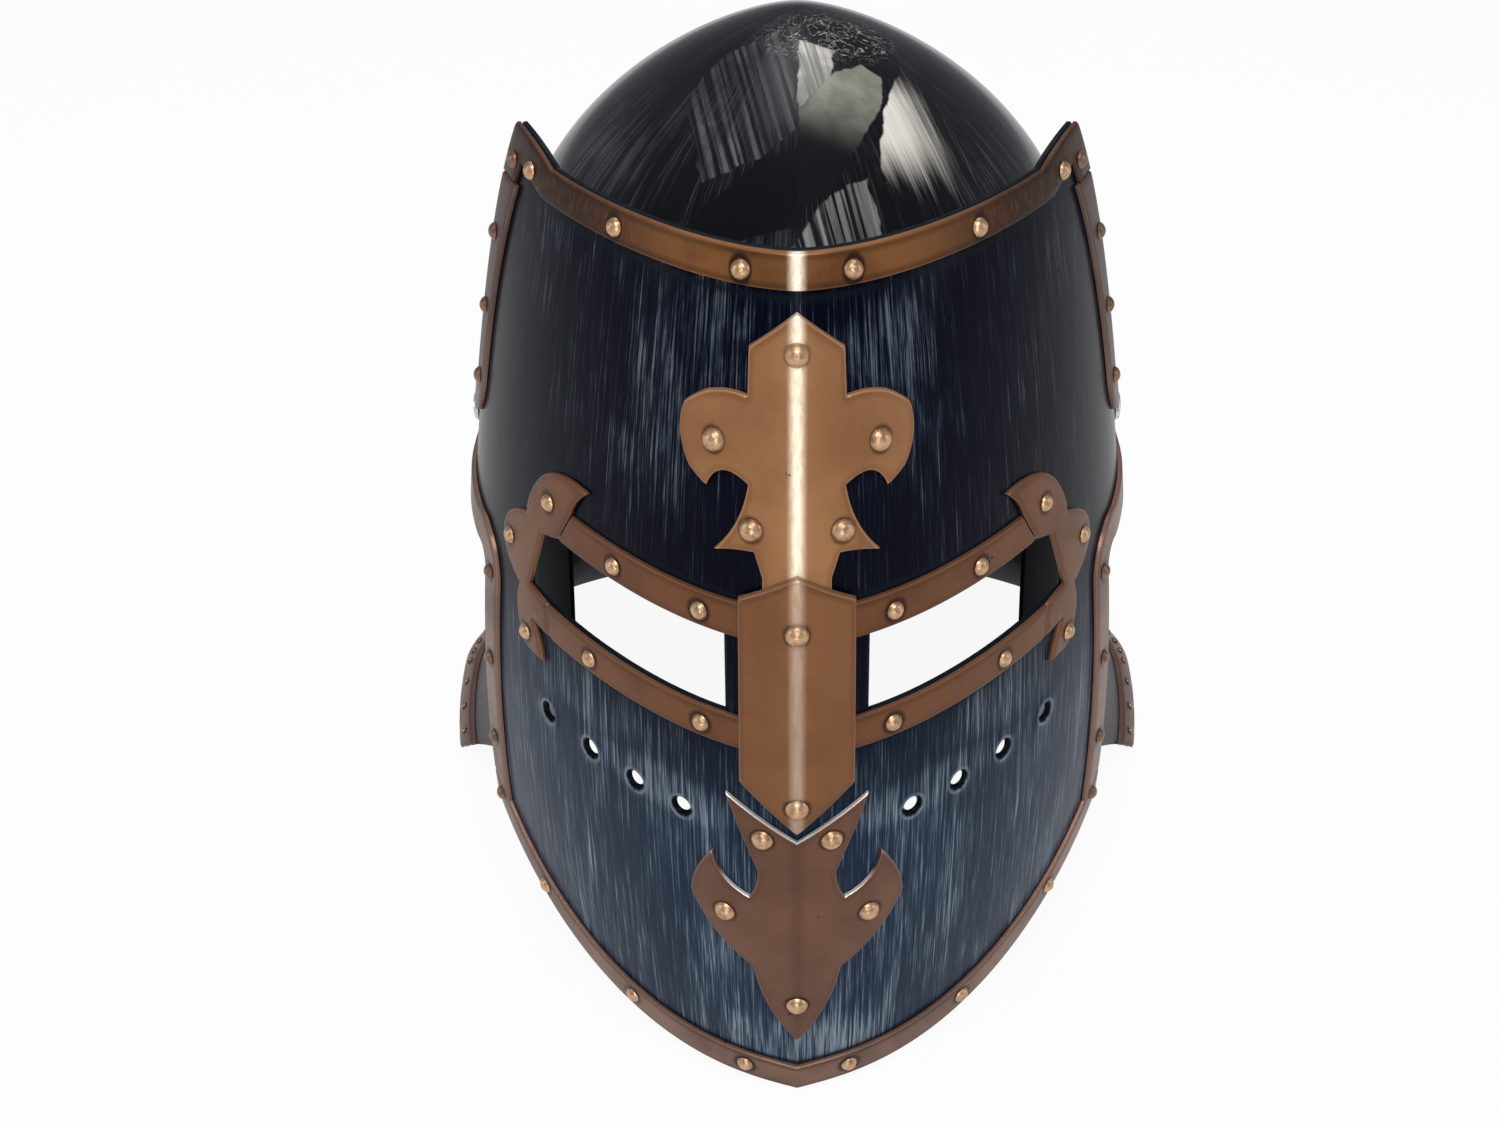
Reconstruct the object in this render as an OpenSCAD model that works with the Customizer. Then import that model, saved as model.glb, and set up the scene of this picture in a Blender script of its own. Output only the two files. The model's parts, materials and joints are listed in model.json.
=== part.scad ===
/* [Face plate] */
// Half width of the face plate at cheek height
face_half_w = 107.5; // [104:0.5:112]
// Depth of the face plate from its widest section to the ridge
face_depth = 135.5; // [130:0.5:142]
// How much narrower each side is at the chin
chin_narrowing = 2.5; // [0:0.5:5]
// How much narrower each side is at the brow
brow_narrowing = 12; // [10:0.5:13]
// How much narrower each side is at crown height
crown_narrowing = 28; // [24:0.5:30]
// How far the ridge stands back at the chin
chin_setback = 5.5; // [0:0.5:12]
// How far the ridge stands back at the brow
brow_setback = 11.5; // [6:0.5:14]
// How far the ridge stands back at crown height
crown_setback = 53.5; // [45:0.5:58]
// Share of the plan that is drawn in to a soft point
keel = 0.30; // [0.2:0.01:0.36]
// Share of the plan that makes the crease on the centre line
crease = 0.08; // [0.02:0.01:0.12]
// Height of the top edge
face_top = 271; // [262:1:276]
// Rise of the horn tips above the top edge
horn_rise = 5; // [1:0.5:9]
// Thickness of the face plate
face_t = 1.6; // [1.2:0.1:2]

/* [Eye slots and breaths] */
// Height of the slots' lower edge
slot_low = 148; // [144:0.5:150]
// Height of the slots' upper edge
slot_high = 172.5; // [168:0.5:174]
// Distance of the slots' inner ends from the centre line
slot_inner = 19.5; // [18:0.5:22]
// Distance of the slots' outer ends from the centre line
slot_outer = 78.5; // [76:0.5:79]
// Diameter of the breathing holes
breath_d = 6.6; // [4:0.2:8]
// Height of the row of breathing holes
breath_z = 108.5; // [104:0.5:114]
// Distance of the first breathing hole from the centre line
breath_first = 32.8; // [32:0.2:36]
// Spacing of the breathing holes
breath_pitch = 14; // [12:0.5:14]

/* [Copper plates] */
// Thickness of the ornamental plates and trims
plate_t = 1.5; // [1:0.1:2]
// Thickness of the nasal guard
nasal_t = 2; // [1.6:0.1:3]
// Width of the side and chin trims
trim_w = 10.5; // [9:0.5:11]
// Width of the top trim, seen from the front
top_trim_w = 8.5; // [7:0.5:10]
// Width of the bands along the eye slots
band_w = 10; // [8:0.5:11]
// Half width of the nasal guard
nasal_half_w = 15.6; // [14:0.2:17]
// Distance of the brow fleur-de-lis below the top trim
brow_gap = 5; // [3:0.5:7]
// Height of the chin fleur-de-lis's point
chin_fleur_low = 24; // [20:1:28]
// Distance of the chin fleur-de-lis's upper tips below the eye slots
chin_fleur_drop = 26.7; // [25.7:0.5:28.7]
// Reach of the nasal guard above the eye slots
nasal_above = 20.5; // [19.5:0.5:22]
// Reach of the nasal guard below the eye slots
nasal_below = 38; // [37:0.5:38.5]
// Height of the nasal guard's upper point
nasal_peak = 8; // [6:0.5:9]
// Height of the nasal guard's lower point
nasal_tip = 17.5; // [15:0.5:19]
// Clearance between plates that lie on each other
plate_gap = 0.2; // [0.1:0.05:0.3]

/* [Rivets] */
// Radius of the large rivet heads
big_head_r = 3.2; // [2.8:0.1:3.6]
// Radius of the trim rivet heads
small_head_r = 2.6; // [2.2:0.1:3]
// Radius of the rivet shanks
shank_r = 1.3; // [1:0.1:1.6]
// Radial clearance of a rivet in its hole
rivet_fit = 0.1; // [0.05:0.05:0.2]

/* [Skull] */
// Clearance between the skull and the face plate's widest inside
side_clearance = 13.9; // [13:0.1:15]
// Distance of the skull's widest section behind the face plate's
skull_back = 24; // [22:0.5:26]
// Clearance between the skull's front and the ridge at cheek height
front_clearance = 31.5; // [30:0.5:35]
// Depth of the skull behind its widest section
skull_rear = 96; // [93:1:99]
// Height of the crown
crown_z = 290; // [286:1:294]
// Height at which the sides start to curve in
spring_z = 165; // [160:1:168]
// Height of the skull's lower edge
skull_low = 62; // [58:1:66]
// How much each side spreads down to the lower edge
skull_spread = 3; // [1:0.5:4]
// Height of the brow edge
brow_z = 178; // [176:0.5:179]
// Distance of the cheek edges in front of the face plate's widest section
cheek_edge = 42; // [36:1:48]
// Radius of the corner between brow and cheek edges
brow_corner_r = 30; // [20:1:40]
// Thickness of the skull
skull_t = 1.6; // [1.2:0.1:2]

/* [Neck guard] */
// Height of the guard's upper edge
guard_high = 74; // [72:1:80]
// Half width of the guard's rim
rim_half_w = 129.5; // [125:0.5:134]
// Distance of the rim's widest place behind the face plate's
rim_back = 85; // [80:1:90]
// Depth of the rim behind its widest place
rim_depth = 74; // [70:1:80]
// Depth of the ellipse that the rim follows in front of its widest place
rim_front_depth = 190; // [180:1:200]
// Thickness of the guard
guard_t = 1.4; // [1.2:0.1:1.8]
// Height of the border along the rim
border_h = 8; // [6:0.5:10]
// Thickness of the border
border_t = 2; // [1.5:0.1:2.5]
// Number of studs on the border
stud_count = 45; // [25:2:49]
// Radius of the studs
stud_r = 1.7; // [1.2:0.1:2]

/* [Pivots] */
// Distance of the pivot behind the face plate's widest section
pivot_back = 12; // [10:0.5:14]
// Height of the pivot
pivot_z = 162; // [160:0.5:164]
// Radius of the rounded ears round the pivots
ear_r = 18; // [18:0.5:20]
// Radius of the pivot screws
screw_r = 3; // [2.5:0.1:3.5]
// Radial running clearance of the screws
screw_fit = 0.06; // [0.04:0.01:0.1]

/* [Liner] */
// Height of the headband's lower edge
band_low = 181; // [180:0.5:184]
// Height of the headband
headband_h = 21; // [18:0.5:24]
// Thickness of the headband
headband_t = 2.4; // [1.8:0.1:3]
// Thickness of the liner's tongues
tongue_t = 3; // [2:0.1:4]
// Number of tongues
tongue_count = 6; // [5:1:8]

/* [Hidden] */

level_step = 100;
ridge_round = 0.37;
ear_close = 0.35;
// Left and right as seen by someone who faces the helmet's front
right = 1;
left = -1;
wide = 400;
face_half_angle = 118;
step_deg = face_half_angle / 23;
horn_top = face_top + horn_rise;
seat = 0.1;
seam = 0.3;
eps = 0.01;

big_head_h = big_head_r * 0.68;
small_head_h = small_head_r * 0.66;
plate_off = plate_gap + plate_t;
nasal_off = plate_off + plate_gap;
nasal_rivet_z = [slot_low - 25.5, slot_high + 5];
front_reach = face_l(nasal_rivet_z[0]) + nasal_off + nasal_t + seat + big_head_h;
rear_reach = rim_back + rim_depth + guard_t + plate_gap + border_t;
wide_y = (front_reach - rear_reach) / 2;

skull_half_w = face_half_w - side_clearance - face_t;
skull_front = face_depth - front_clearance + skull_back;
skull_y = wide_y + skull_back;
pivot_y = wide_y + pivot_back;
pivot_ahead = skull_back - pivot_back;
chin_rise = 41;
chin_rise_power = 3.2;
chin_point = 2.4;
chin_point_run = 22;
slot_h = slot_high - slot_low;
skull_keel = 0.12;
brow_low = slot_high + 13.5;
brow_h = face_top - top_trim_w - brow_gap - brow_low;
chin_fleur_h = slot_low - chin_fleur_drop - chin_fleur_low;
lower_band_end = slot_outer - 5.5;
upper_band_end = slot_outer - 10.5;
band_slant = 4.5;
band_start = nasal_half_w - 4.1;
dome_power = 2.9;
dome_round = 1.34;

// Cubic through four values that stand level_step apart in height
function through(z, v) = let (s = z / level_step)
    -v[0] * (s - 1) * (s - 2) * (s - 3) / 6 + v[1] * s * (s - 2) * (s - 3) / 2
    - v[2] * s * (s - 1) * (s - 3) / 2 + v[3] * s * (s - 1) * (s - 2) / 6;

function face_w(z) = through(z, [face_half_w - chin_narrowing, face_half_w,
    face_half_w - brow_narrowing, face_half_w - crown_narrowing]);
function face_l(z) = through(z, [face_depth - chin_setback, face_depth,
    face_depth - brow_setback, face_depth - crown_setback]);

// A straight line that starts as a round bottom
function softened(s) = (sqrt(s * s + ridge_round * ridge_round) - ridge_round)
    / (sqrt(1 + ridge_round * ridge_round) - ridge_round);

// Plan of the face: an ellipse drawn in to a soft point, with a low crease at the ridge
function plan_y(t) = (1 - keel - crease) * cos(t) + keel * (1 - softened(abs(sin(t))))
    + crease * (1 - abs(sin(t)));
function plan_x(t) = abs(t) <= 90 ? sin(t) : sign(t) * (1 - ear_close * (1 - abs(sin(t))));
function face_point(t, z, off) =
    [(face_w(z) + off) * plan_x(t), wide_y - (face_l(z) + off) * plan_y(t), z];

// Skull: its front has the face plate's plan, its rear is rounder, and both close to the crown
function dome_angle(i, n) = 90 * pow(i / n, dome_power / 2);
function dome_s(i, n) = pow(sin(dome_angle(i, n)), 2 / dome_power);
function dome_g(i, n) = pow(max(cos(dome_angle(i, n)), 0), 2 / dome_round);
function ring_y(t) = cos(t) >= 0 ? plan_y(t)
    : -(1 - skull_keel) * abs(cos(t)) - skull_keel * (1 - abs(sin(t)));
function skull_point(t, g, z, spread, off) =
    [(skull_half_w * g + spread + off) * sin(t),
     skull_y - ((cos(t) >= 0 ? skull_front : skull_rear) * g + spread + off) * ring_y(t), z];
function skull_spread_at(z) = skull_spread * pow(max(spring_z - z, 0) / (spring_z - skull_low), 1.5);
function dome_g_at(z) = z <= spring_z ? 1
    : pow(max(1 - pow((z - spring_z) / (crown_z - spring_z), dome_power), 0), 1 / dome_round);
function skull_at(t, z, off) = skull_point(t, dome_g_at(z), z, skull_spread_at(z), off);

// Neck guard: its collar follows the skull, t runs from the rear centre, s from the upper edge to the rim
function guard_flare(s) = pow(max(s - guard_collar, 0) / (1 - guard_collar), flare_power);
function guard_y(t, s, off) = let (rear = cos(t) > 0)
    let (top = (rear ? skull_rear : skull_front) + skull_spread + plate_gap)
    let (rim = rear ? rim_depth : rim_front_depth)
    let (flare = guard_flare(s))
    (1 - flare) * (skull_y - (top + off) * ring_y(180 - t))
    + flare * (wide_y + rim_back + (rim + off) * cos(t));
function guard_x(t, s, off) = let (flare = guard_flare(s))
    ((skull_half_w + skull_spread + plate_gap) * (1 - flare) + rim_half_w * flare + off) * sin(t);
function guard_turn(t, s) = t * (1 + collar_wrap / guard_end * pow(1 - guard_flare(s), 2));
function guard_point(t, s, off) = let (a = guard_turn(t, s))
    [guard_x(a, s, off), guard_y(a, s, off), guard_high * (1 - s)];
flare_power = 1.5;
guard_collar = 0.14;
guard_end = 106;
collar_wrap = 20;

// Unit normal of a surface from three of its points
function unit(v) = v / norm(v);
function normal_of(p, pu, pv) = unit(cross(pu - p, pv - p));
function face_normal(t, z, off) = unit(cross(face_point(t + 0.5, z, off) - face_point(t - 0.5, z, off),
    face_point(t, z + 0.5, off) - face_point(t, z - 0.5, off)));
function face_angle(x, z, off) = asin(max(min(x / (face_w(z) + off), 1), -1));
function face_frame(x, z, off) = let (t = face_angle(x, z, off))
    [face_point(t, z, off), face_normal(t, z, off)];

// Points along a shallow arc from p towards q, bulging by b to the left
function bow(p, q, b, n = 6) = let (d = q - p, m = [-d[1], d[0]] / norm(d))
    [for (i = [0 : n - 1]) let (s = i / n) p + d * s + m * 4 * b * s * (1 - s)];
function mirrored(points) = [for (i = [len(points) - 1 : -1 : 0]) [-points[i][0], points[i][1]]];

module at(frame) {
    translate(frame[0])
        rotate([0, acos(frame[1][2]), atan2(frame[1][1], frame[1][0])])
            children();
}

// Closed sheet between an outer and an inner grid of points
module sheet(outer, inner) {
    rows = len(outer);
    cols = len(outer[0]);
    n = rows * cols;
    o = function(r, c) r * cols + c;
    i = function(r, c) n + r * cols + c;
    R = rows - 1;
    C = cols - 1;
    polyhedron(
        points = concat([for (row = outer) each row], [for (row = inner) each row]),
        faces = concat(
            [for (r = [0 : R - 1], c = [0 : C - 1]) each [
                [o(r, c), o(r + 1, c), o(r + 1, c + 1)], [o(r, c), o(r + 1, c + 1), o(r, c + 1)],
                [i(r, c), i(r + 1, c + 1), i(r + 1, c)], [i(r, c), i(r, c + 1), i(r + 1, c + 1)]]],
            [for (c = [0 : C - 1]) each [
                [o(0, c), o(0, c + 1), i(0, c + 1)], [o(0, c), i(0, c + 1), i(0, c)],
                [o(R, c + 1), o(R, c), i(R, c)], [o(R, c + 1), i(R, c), i(R, c + 1)]]],
            [for (r = [0 : R - 1]) each [
                [o(r + 1, 0), o(r, 0), i(r, 0)], [o(r + 1, 0), i(r, 0), i(r + 1, 0)],
                [o(r, C), o(r + 1, C), i(r + 1, C)], [o(r, C), i(r + 1, C), i(r, C)]]]),
        convexity = 10);
}

// Closed sheet whose columns join up into a ring, with tips when it closes at the top
module ring_sheet(outer, inner, tips = []) {
    rows = len(outer);
    cols = len(outer[0]);
    n = rows * cols;
    o = function(r, c) r * cols + c % cols;
    i = function(r, c) n + r * cols + c % cols;
    R = rows - 1;
    C = cols - 1;
    polyhedron(
        points = concat([for (row = outer) each row], [for (row = inner) each row], tips),
        faces = concat(
            [for (r = [0 : R - 1], c = [0 : C]) each [
                [o(r, c), o(r + 1, c), o(r + 1, c + 1)], [o(r, c), o(r + 1, c + 1), o(r, c + 1)],
                [i(r, c), i(r + 1, c + 1), i(r + 1, c)], [i(r, c), i(r, c + 1), i(r + 1, c + 1)]]],
            [for (c = [0 : C]) each [
                [o(0, c), o(0, c + 1), i(0, c + 1)], [o(0, c), i(0, c + 1), i(0, c)]]],
            [for (c = [0 : C]) each (len(tips) > 0
                ? [[o(R, c + 1), o(R, c), 2 * n], [i(R, c), i(R, c + 1), 2 * n + 1]]
                : [[o(R, c + 1), o(R, c), i(R, c)], [o(R, c + 1), i(R, c), i(R, c + 1)]])]),
        convexity = 10);
}

// Layer of the face between two heights, half angle and offsets
module face_layer(z0, z1, rows, half_angle, inside, outside) {
    n = ceil(half_angle / step_deg - eps);
    grid = function(off) [for (r = [0 : rows]) [for (c = [-n : n])
        face_point(c * step_deg, z0 + (z1 - z0) * r / rows, off)]];
    sheet(grid(outside), grid(inside));
}

// Layer of one side of the face, between two angles
module side_layer(side, z0, z1, rows, a0, a1, inside, outside) {
    c0 = floor(a0 / step_deg);
    c1 = ceil(a1 / step_deg - eps);
    columns = side > 0 ? [c0 : c1] : [-c1 : -c0];
    grid = function(off) [for (r = [0 : rows]) [for (c = columns)
        face_point(c * step_deg, z0 + (z1 - z0) * r / rows, off)]];
    sheet(grid(outside), grid(inside));
}

// Prisms along the two horizontal axes, from outlines drawn in front and side view
module front_prism() {
    rotate([90, 0, 0])
        linear_extrude(wide, center = true)
            children();
}
module side_prism() {
    rotate([90, 0, 90])
        linear_extrude(wide, center = true)
            children();
}

// Lower edge of the face plate in front view, with a low point on the centre line
function chin_edge(x) = chin_rise * pow(abs(x) / level_step, chin_rise_power)
    + chin_point * abs(x) / chin_point_run * exp(1 - abs(x) / chin_point_run);
module above_chin(rise) {
    x_end = 112;
    polygon(concat([[x_end, face_top + 20], [-x_end, face_top + 20]],
        [for (x = [-x_end : 8 : x_end]) [x, chin_edge(x) + rise]]));
}

// Side outline of the face plate: horn, ear round the pivot, straight cheek edge
cheek_back = 40;
temple_back = 14;
horn_back = 29;
horn_root = 50;
module side_outline() {
    front = wide_y - level_step * 1.6;
    offset(r = -6) offset(delta = 6) union() {
        polygon(concat(
            [[front, -5], [wide_y - cheek_back, -5], [wide_y - cheek_back, pivot_z - 10],
             [wide_y - temple_back, pivot_z + 10]],
            bow([wide_y - temple_back, pivot_z + 30], [wide_y - horn_back, horn_top], -3.5, 8),
            bow([wide_y - horn_back, horn_top], [wide_y - horn_root, face_top], -1.2, 5),
            [[wide_y - horn_root, face_top], [front, face_top]]));
        hull() {
            translate([pivot_y, pivot_z]) circle(ear_r, $fn = 40);
            translate([wide_y - 32, pivot_z - 22]) square([2, 50]);
        }
    }
}
module edge_strip(w) {
    difference() {
        side_outline();
        offset(delta = -w) side_outline();
    }
}

// Outlines in front view, right half from the top down, in shares of their own height
function grown(low, height, shares) = [for (p = shares) [p[0] * height, low + p[1] * height]];
brow_fleur_half = grown(brow_low, brow_h, concat(
    [[0, 1], [0.1706, 0.8769], [0.1762, 0.7133]],
    bow([0.1762, 0.7133], [0.3217, 0.6993], 0.0112, 3),
    bow([0.3217, 0.6993], [0.4084, 0.6322], 0.0042, 2),
    bow([0.4084, 0.6322], [0.3944, 0.4168], 0.0224, 5),
    bow([0.3944, 0.4168], [0.3301, 0.3636], 0.0028, 2),
    bow([0.3301, 0.3636], [0.1762, 0.4056], -0.0531, 8),
    bow([0.1762, 0.4056], [0.3049, 0.1343], -0.0224, 6),
    bow([0.3049, 0.1343], [0.1566, 0.1622], -0.007, 3),
    [[0.1566, 0.1622], [0.1273, 0.0699], [0.1273, 0]]));
chin_fleur_half = grown(chin_fleur_low, chin_fleur_h, concat(
    [[0, 0.8654], [0.2055, 1], [0.1747, 0.8993], [0.1161, 0.7369]],
    bow([0.1161, 0.7369], [0.1418, 0.6228], -0.0082, 4),
    bow([0.1418, 0.6228], [0.2487, 0.7605], -0.0267, 7),
    bow([0.2487, 0.7605], [0.3186, 0.5704], 0.0144, 6),
    bow([0.3186, 0.5704], [0.1336, 0.3248], 0.0247, 8),
    bow([0.1336, 0.3248], [0, 0], -0.0164, 7),
    [[0, 0]]));
nasal_half = [[0, slot_high + nasal_above], [nasal_half_w, slot_high + nasal_above - nasal_peak],
    [nasal_half_w + 0.4, slot_low - nasal_below + nasal_tip], [0, slot_low - nasal_below]];

// Ornament at the outer end of an eye slot, in slot heights from the slot's outer lower corner
window_outer = slot_outer + 0.4;
function from_slot(points) = [for (p = points) [slot_outer + p[0] * slot_h, slot_low + p[1] * slot_h]];
upper_corner = [(upper_band_end - band_slant - slot_outer) / slot_h, (slot_h + band_w) / slot_h];
eye_fleur_outline = concat(
    from_slot(concat(
        bow([-0.8531, 1.8204], [-0.1673, 1.4776], 0.1469, 8),
        bow([-0.1673, 1.4776], [-0.0041, 0.9878], 0.0245, 3),
        bow([-0.0041, 0.9878], [0.3714, 0.3469], 0.1061, 7),
        bow([0.3714, 0.3469], [0.1633, -0.0531], 0.0531, 4),
        bow([0.1633, -0.0531], [0.1184, -0.8653], 0.0776, 7),
        bow([0.1184, -0.8653], [-0.1184, -0.8612], -0.0163, 2),
        bow([-0.1184, -0.8612], [-0.0041, -0.3755], 0.0163, 4))),
    [[slot_outer - 0.1, slot_low - band_w + 0.6], [lower_band_end, slot_low - band_w],
     [lower_band_end, slot_low], [window_outer, slot_low + 1.5], [slot_outer - 5.3, slot_high - 2.5],
     [upper_band_end, slot_high], [upper_band_end - band_slant, slot_high + band_w]],
    from_slot(bow(upper_corner, [-0.8531, 1.8204], -0.0327, 4)));

slot_outline = [[slot_inner, slot_low], [slot_outer, slot_low], [slot_outer, slot_low + 1.8],
    [slot_outer - 5.5, slot_high - 2.2], [slot_outer - 7.5, slot_high], [slot_inner, slot_high]];

// Rivet places: x and z in front view, or y and z in side view
top_rivet_xz = [for (x = [14.2, 47.4, 72.6]) [x, face_top - top_trim_w / 2 - (x > 60 ? -0.6 : 0.6)]];
chin_rivet_x = [16.2, 52.5, 82.5];
brow_rivet_xz = grown(brow_low, brow_h,
    [[0, 0.8699], [0.3007, 0.5371], [-0.3007, 0.5371], [0.1678, 0.2448], [-0.1678, 0.2448]]);
chin_fleur_rivet_xz = grown(chin_fleur_low, chin_fleur_h,
    [[0.1007, 0.8633], [-0.1007, 0.8633], [0.2158, 0.5355], [-0.2158, 0.5355], [0, 0.1778]]);
nasal_rivet_xz = [for (z = nasal_rivet_z) [0, z]];
eye_rivet_xz = concat(from_slot([[-0.3306, 1.3673], [0.2653, 0.449], [0.1102, -0.6531]]),
    [[slot_outer - 28, slot_high + band_w / 2 - 0.6], [slot_inner + 6.7, slot_high + band_w / 2 - 0.6],
     [slot_outer - 19.2, slot_low - band_w / 2 - 0.6], [slot_inner + 7, slot_low - band_w / 2 - 0.6]]);
side_rivet_yz = concat(
    [for (p = [[0, 0.284], [0, 0.436], [0, 0.636], [0.5, 0.84]])
        [-cheek_back - trim_w / 2 + p[0], pivot_z * p[1]]],
    [for (p = [[0, 0.266], [0.4, 0.486], [3, 0.716], [12, 0.954]])
        [-temple_back - trim_w / 2 - p[0], pivot_z + (face_top - pivot_z) * p[1]]]);

// Angle at which the face lies a given distance in front of its widest section, by halving
function angle_at(back, z, off, lo = 0, hi = 120, n = 18) = let (m = (lo + hi) / 2)
    n == 0 ? m
    : (face_l(z) + off) * plan_y(m) > back ? angle_at(back, z, off, m, hi, n - 1)
    : angle_at(back, z, off, lo, m, n - 1);
function side_frame(side, p, off) = let (t = side * angle_at(-p[0], p[1], off))
    [face_point(t, p[1], off), face_normal(t, p[1], off)];

// Rivet with its head standing on z = 0 and its tail below the grip
module rivet(head_r, head_h, grip) {
    tail_r = shank_r + 0.9;
    tail_h = 0.9;
    ball_r = (head_r * head_r + head_h * head_h) / (2 * head_h);
    sweep = asin(head_r / ball_r);
    rotate_extrude($fn = 32)
        polygon(concat(
            [for (i = [0 : 5]) [ball_r * sin(sweep * i / 5),
                head_h - ball_r + ball_r * cos(sweep * i / 5)]],
            [[shank_r, 0], [shank_r, -grip], [tail_r, -grip], [tail_r - 0.3, -grip - tail_h],
             [0, -grip - tail_h]]));
}
module hole() {
    cylinder(h = 14, r = shank_r + rivet_fit, center = true, $fn = 24);
}

face_grip = face_t + plate_off + 2 * seat;
nasal_grip = face_t + nasal_off + nasal_t + 2 * seat;
// A rivet near the ridge needs a longer grip, because the plate falls away inside on both sides
ridge_fall = 0.6;
ridge_reach = 15;
function grip_at(x) = abs(x) < ridge_reach ? ridge_fall : 0;
module big_rivets(places) {
    for (p = places) at(face_frame(p[0], p[1], plate_off + seat))
        rivet(big_head_r, big_head_h, face_grip + grip_at(p[0]));
}
module small_rivets(places) {
    for (p = places) at(face_frame(p[0], p[1], plate_off + seat))
        rivet(small_head_r, small_head_h, face_grip);
}
module holes(places) {
    for (p = places) at(face_frame(p[0], p[1], plate_off + seat)) hole();
}
function nasal_frame(p) = face_frame(p[0], p[1], nasal_off + nasal_t + seat);
module nasal_holes() {
    for (p = nasal_rivet_xz) at(nasal_frame(p)) hole();
}
module side_holes(side, places) {
    for (p = places) at(side_frame(side, p, plate_off + seat)) hole();
}
function both(places) = [for (p = places, s = [left, right]) [s * p[0], p[1]]];
function chin_rivet_xz() = [for (x = chin_rivet_x) [x, chin_edge(x) + trim_w / 2]];
function on_side(side, places) = [for (p = places) [side * p[0], p[1]]];

// Pivot stack along X, from the inside out
screw_head_r = 5;
screw_head_h = 1.8;
slot_depth = 0.8;
slot_w = 1.4;
washer_t = 0.8;
ear_seat_r = ear_r - trim_w - seam;
washer_r = ear_seat_r - 0.7;
nut_h = 4;
nut_r = 5.6;
ear_out = face_w(pivot_z) + 0.3;
ear_in = ear_out - 4.4;
washer_in = ear_out + plate_gap;
washer_out = washer_in + washer_t;
// Angle at which the plan has a given share of its depth, by halving, and the skull's half width there
function plan_angle(share, lo = 0, hi = 90, n = 18) = let (m = (lo + hi) / 2)
    n == 0 ? m : plan_y(m) > share ? plan_angle(share, m, hi, n - 1) : plan_angle(share, lo, m, n - 1);
function skull_w_at(ahead, off) = (skull_half_w + off) * sin(plan_angle(ahead / (skull_front + off)));
spacer_in = skull_w_at(pivot_ahead - washer_r, skull_spread_at(pivot_z)) + 2 * plate_gap;
nut_out = skull_w_at(pivot_ahead + nut_r, -skull_t) - 4 * plate_gap;
module pivot_axis(side, x0, x1) {
    translate([side * x0, pivot_y, pivot_z])
        rotate([0, side * 90, 0])
            linear_extrude(x1 - x0)
                children();
}

module skull_shell() {
    n = 12;
    cols = 48;
    inner_off = -skull_t;
    low_rows = [0, 0.35, 0.7];
    grid = function(off) concat(
        [for (f = low_rows) let (z = skull_low + (spring_z - skull_low) * f)
            [for (c = [0 : cols - 1]) skull_point(-180 + 360 * c / cols, 1, z, skull_spread_at(z), off)]],
        [for (r = [0 : n - 1]) [for (c = [0 : cols - 1])
            skull_point(-180 + 360 * c / cols, dome_g(r, n),
                spring_z + (crown_z + off - spring_z) * dome_s(r, n), 0, off * dome_g(r, n))]]);
    opening = concat(
        [[wide_y - cheek_edge, 0], [wide_y - cheek_edge, brow_z - brow_corner_r]],
        bow([wide_y - cheek_edge, brow_z - brow_corner_r], [wide_y - cheek_edge - brow_corner_r, brow_z],
            brow_corner_r * (cos(45) - 1), 6),
        [[wide_y - cheek_edge - brow_corner_r, brow_z], [wide_y - level_step * 2, brow_z],
         [wide_y - level_step * 2, 0]]);
    color("dimgray")
        difference() {
            ring_sheet(grid(0), grid(inner_off),
                [[0, skull_y, crown_z], [0, skull_y, crown_z - skull_t]]);
            side_prism() polygon(opening);
            for (side = [left, right]) {
                pivot_axis(side, skull_half_w - 30, skull_half_w + 20)
                    circle(screw_r + screw_fit, $fn = 48);
                for (t = neck_rivet_t) at(guard_frame(side * t, neck_rivet_s)) hole();
            }
            for (t = liner_rivet_t) at(skull_frame(t, liner_rivet_z)) hole();
        }
}

neck_rivet_t = [10, 38, 66, 92];
neck_rivet_s = 0.08;
neck_grip = guard_t + plate_gap + skull_spread - skull_spread_at(guard_high * (1 - neck_rivet_s))
    + skull_t + 8 * seat;
liner_rivet_t = [for (i = [0 : 7]) 22.5 + i * 45];
liner_rivet_z = band_low + headband_h * 0.45;
function guard_frame(t, s) = let (off = guard_t + seat)
    [guard_point(t, s, off),
     normal_of(guard_point(t, s, off), guard_point(t + 0.5, s, off), guard_point(t, s + 0.01, off))];
function skull_frame(t, z) =
    [skull_at(t, z, seat),
     normal_of(skull_at(t, z, seat), skull_at(t + 0.5, z, seat), skull_at(t, z + 0.5, seat))];

module guard_sheet(s0, s1, rows, inside, outside, end) {
    n = 40;
    grid = function(off) [for (r = [0 : rows]) [for (c = [0 : n])
        guard_point(end - 2 * end * c / n, s1 + (s0 - s1) * r / rows, off)]];
    sheet(grid(outside), grid(inside));
}

module neck_guard() {
    color("dimgray")
        difference() {
            guard_sheet(0, 1, 7, 0, guard_t, guard_end);
            for (side = [left, right], t = neck_rivet_t) at(guard_frame(side * t, neck_rivet_s)) hole();
        }
}

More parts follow.
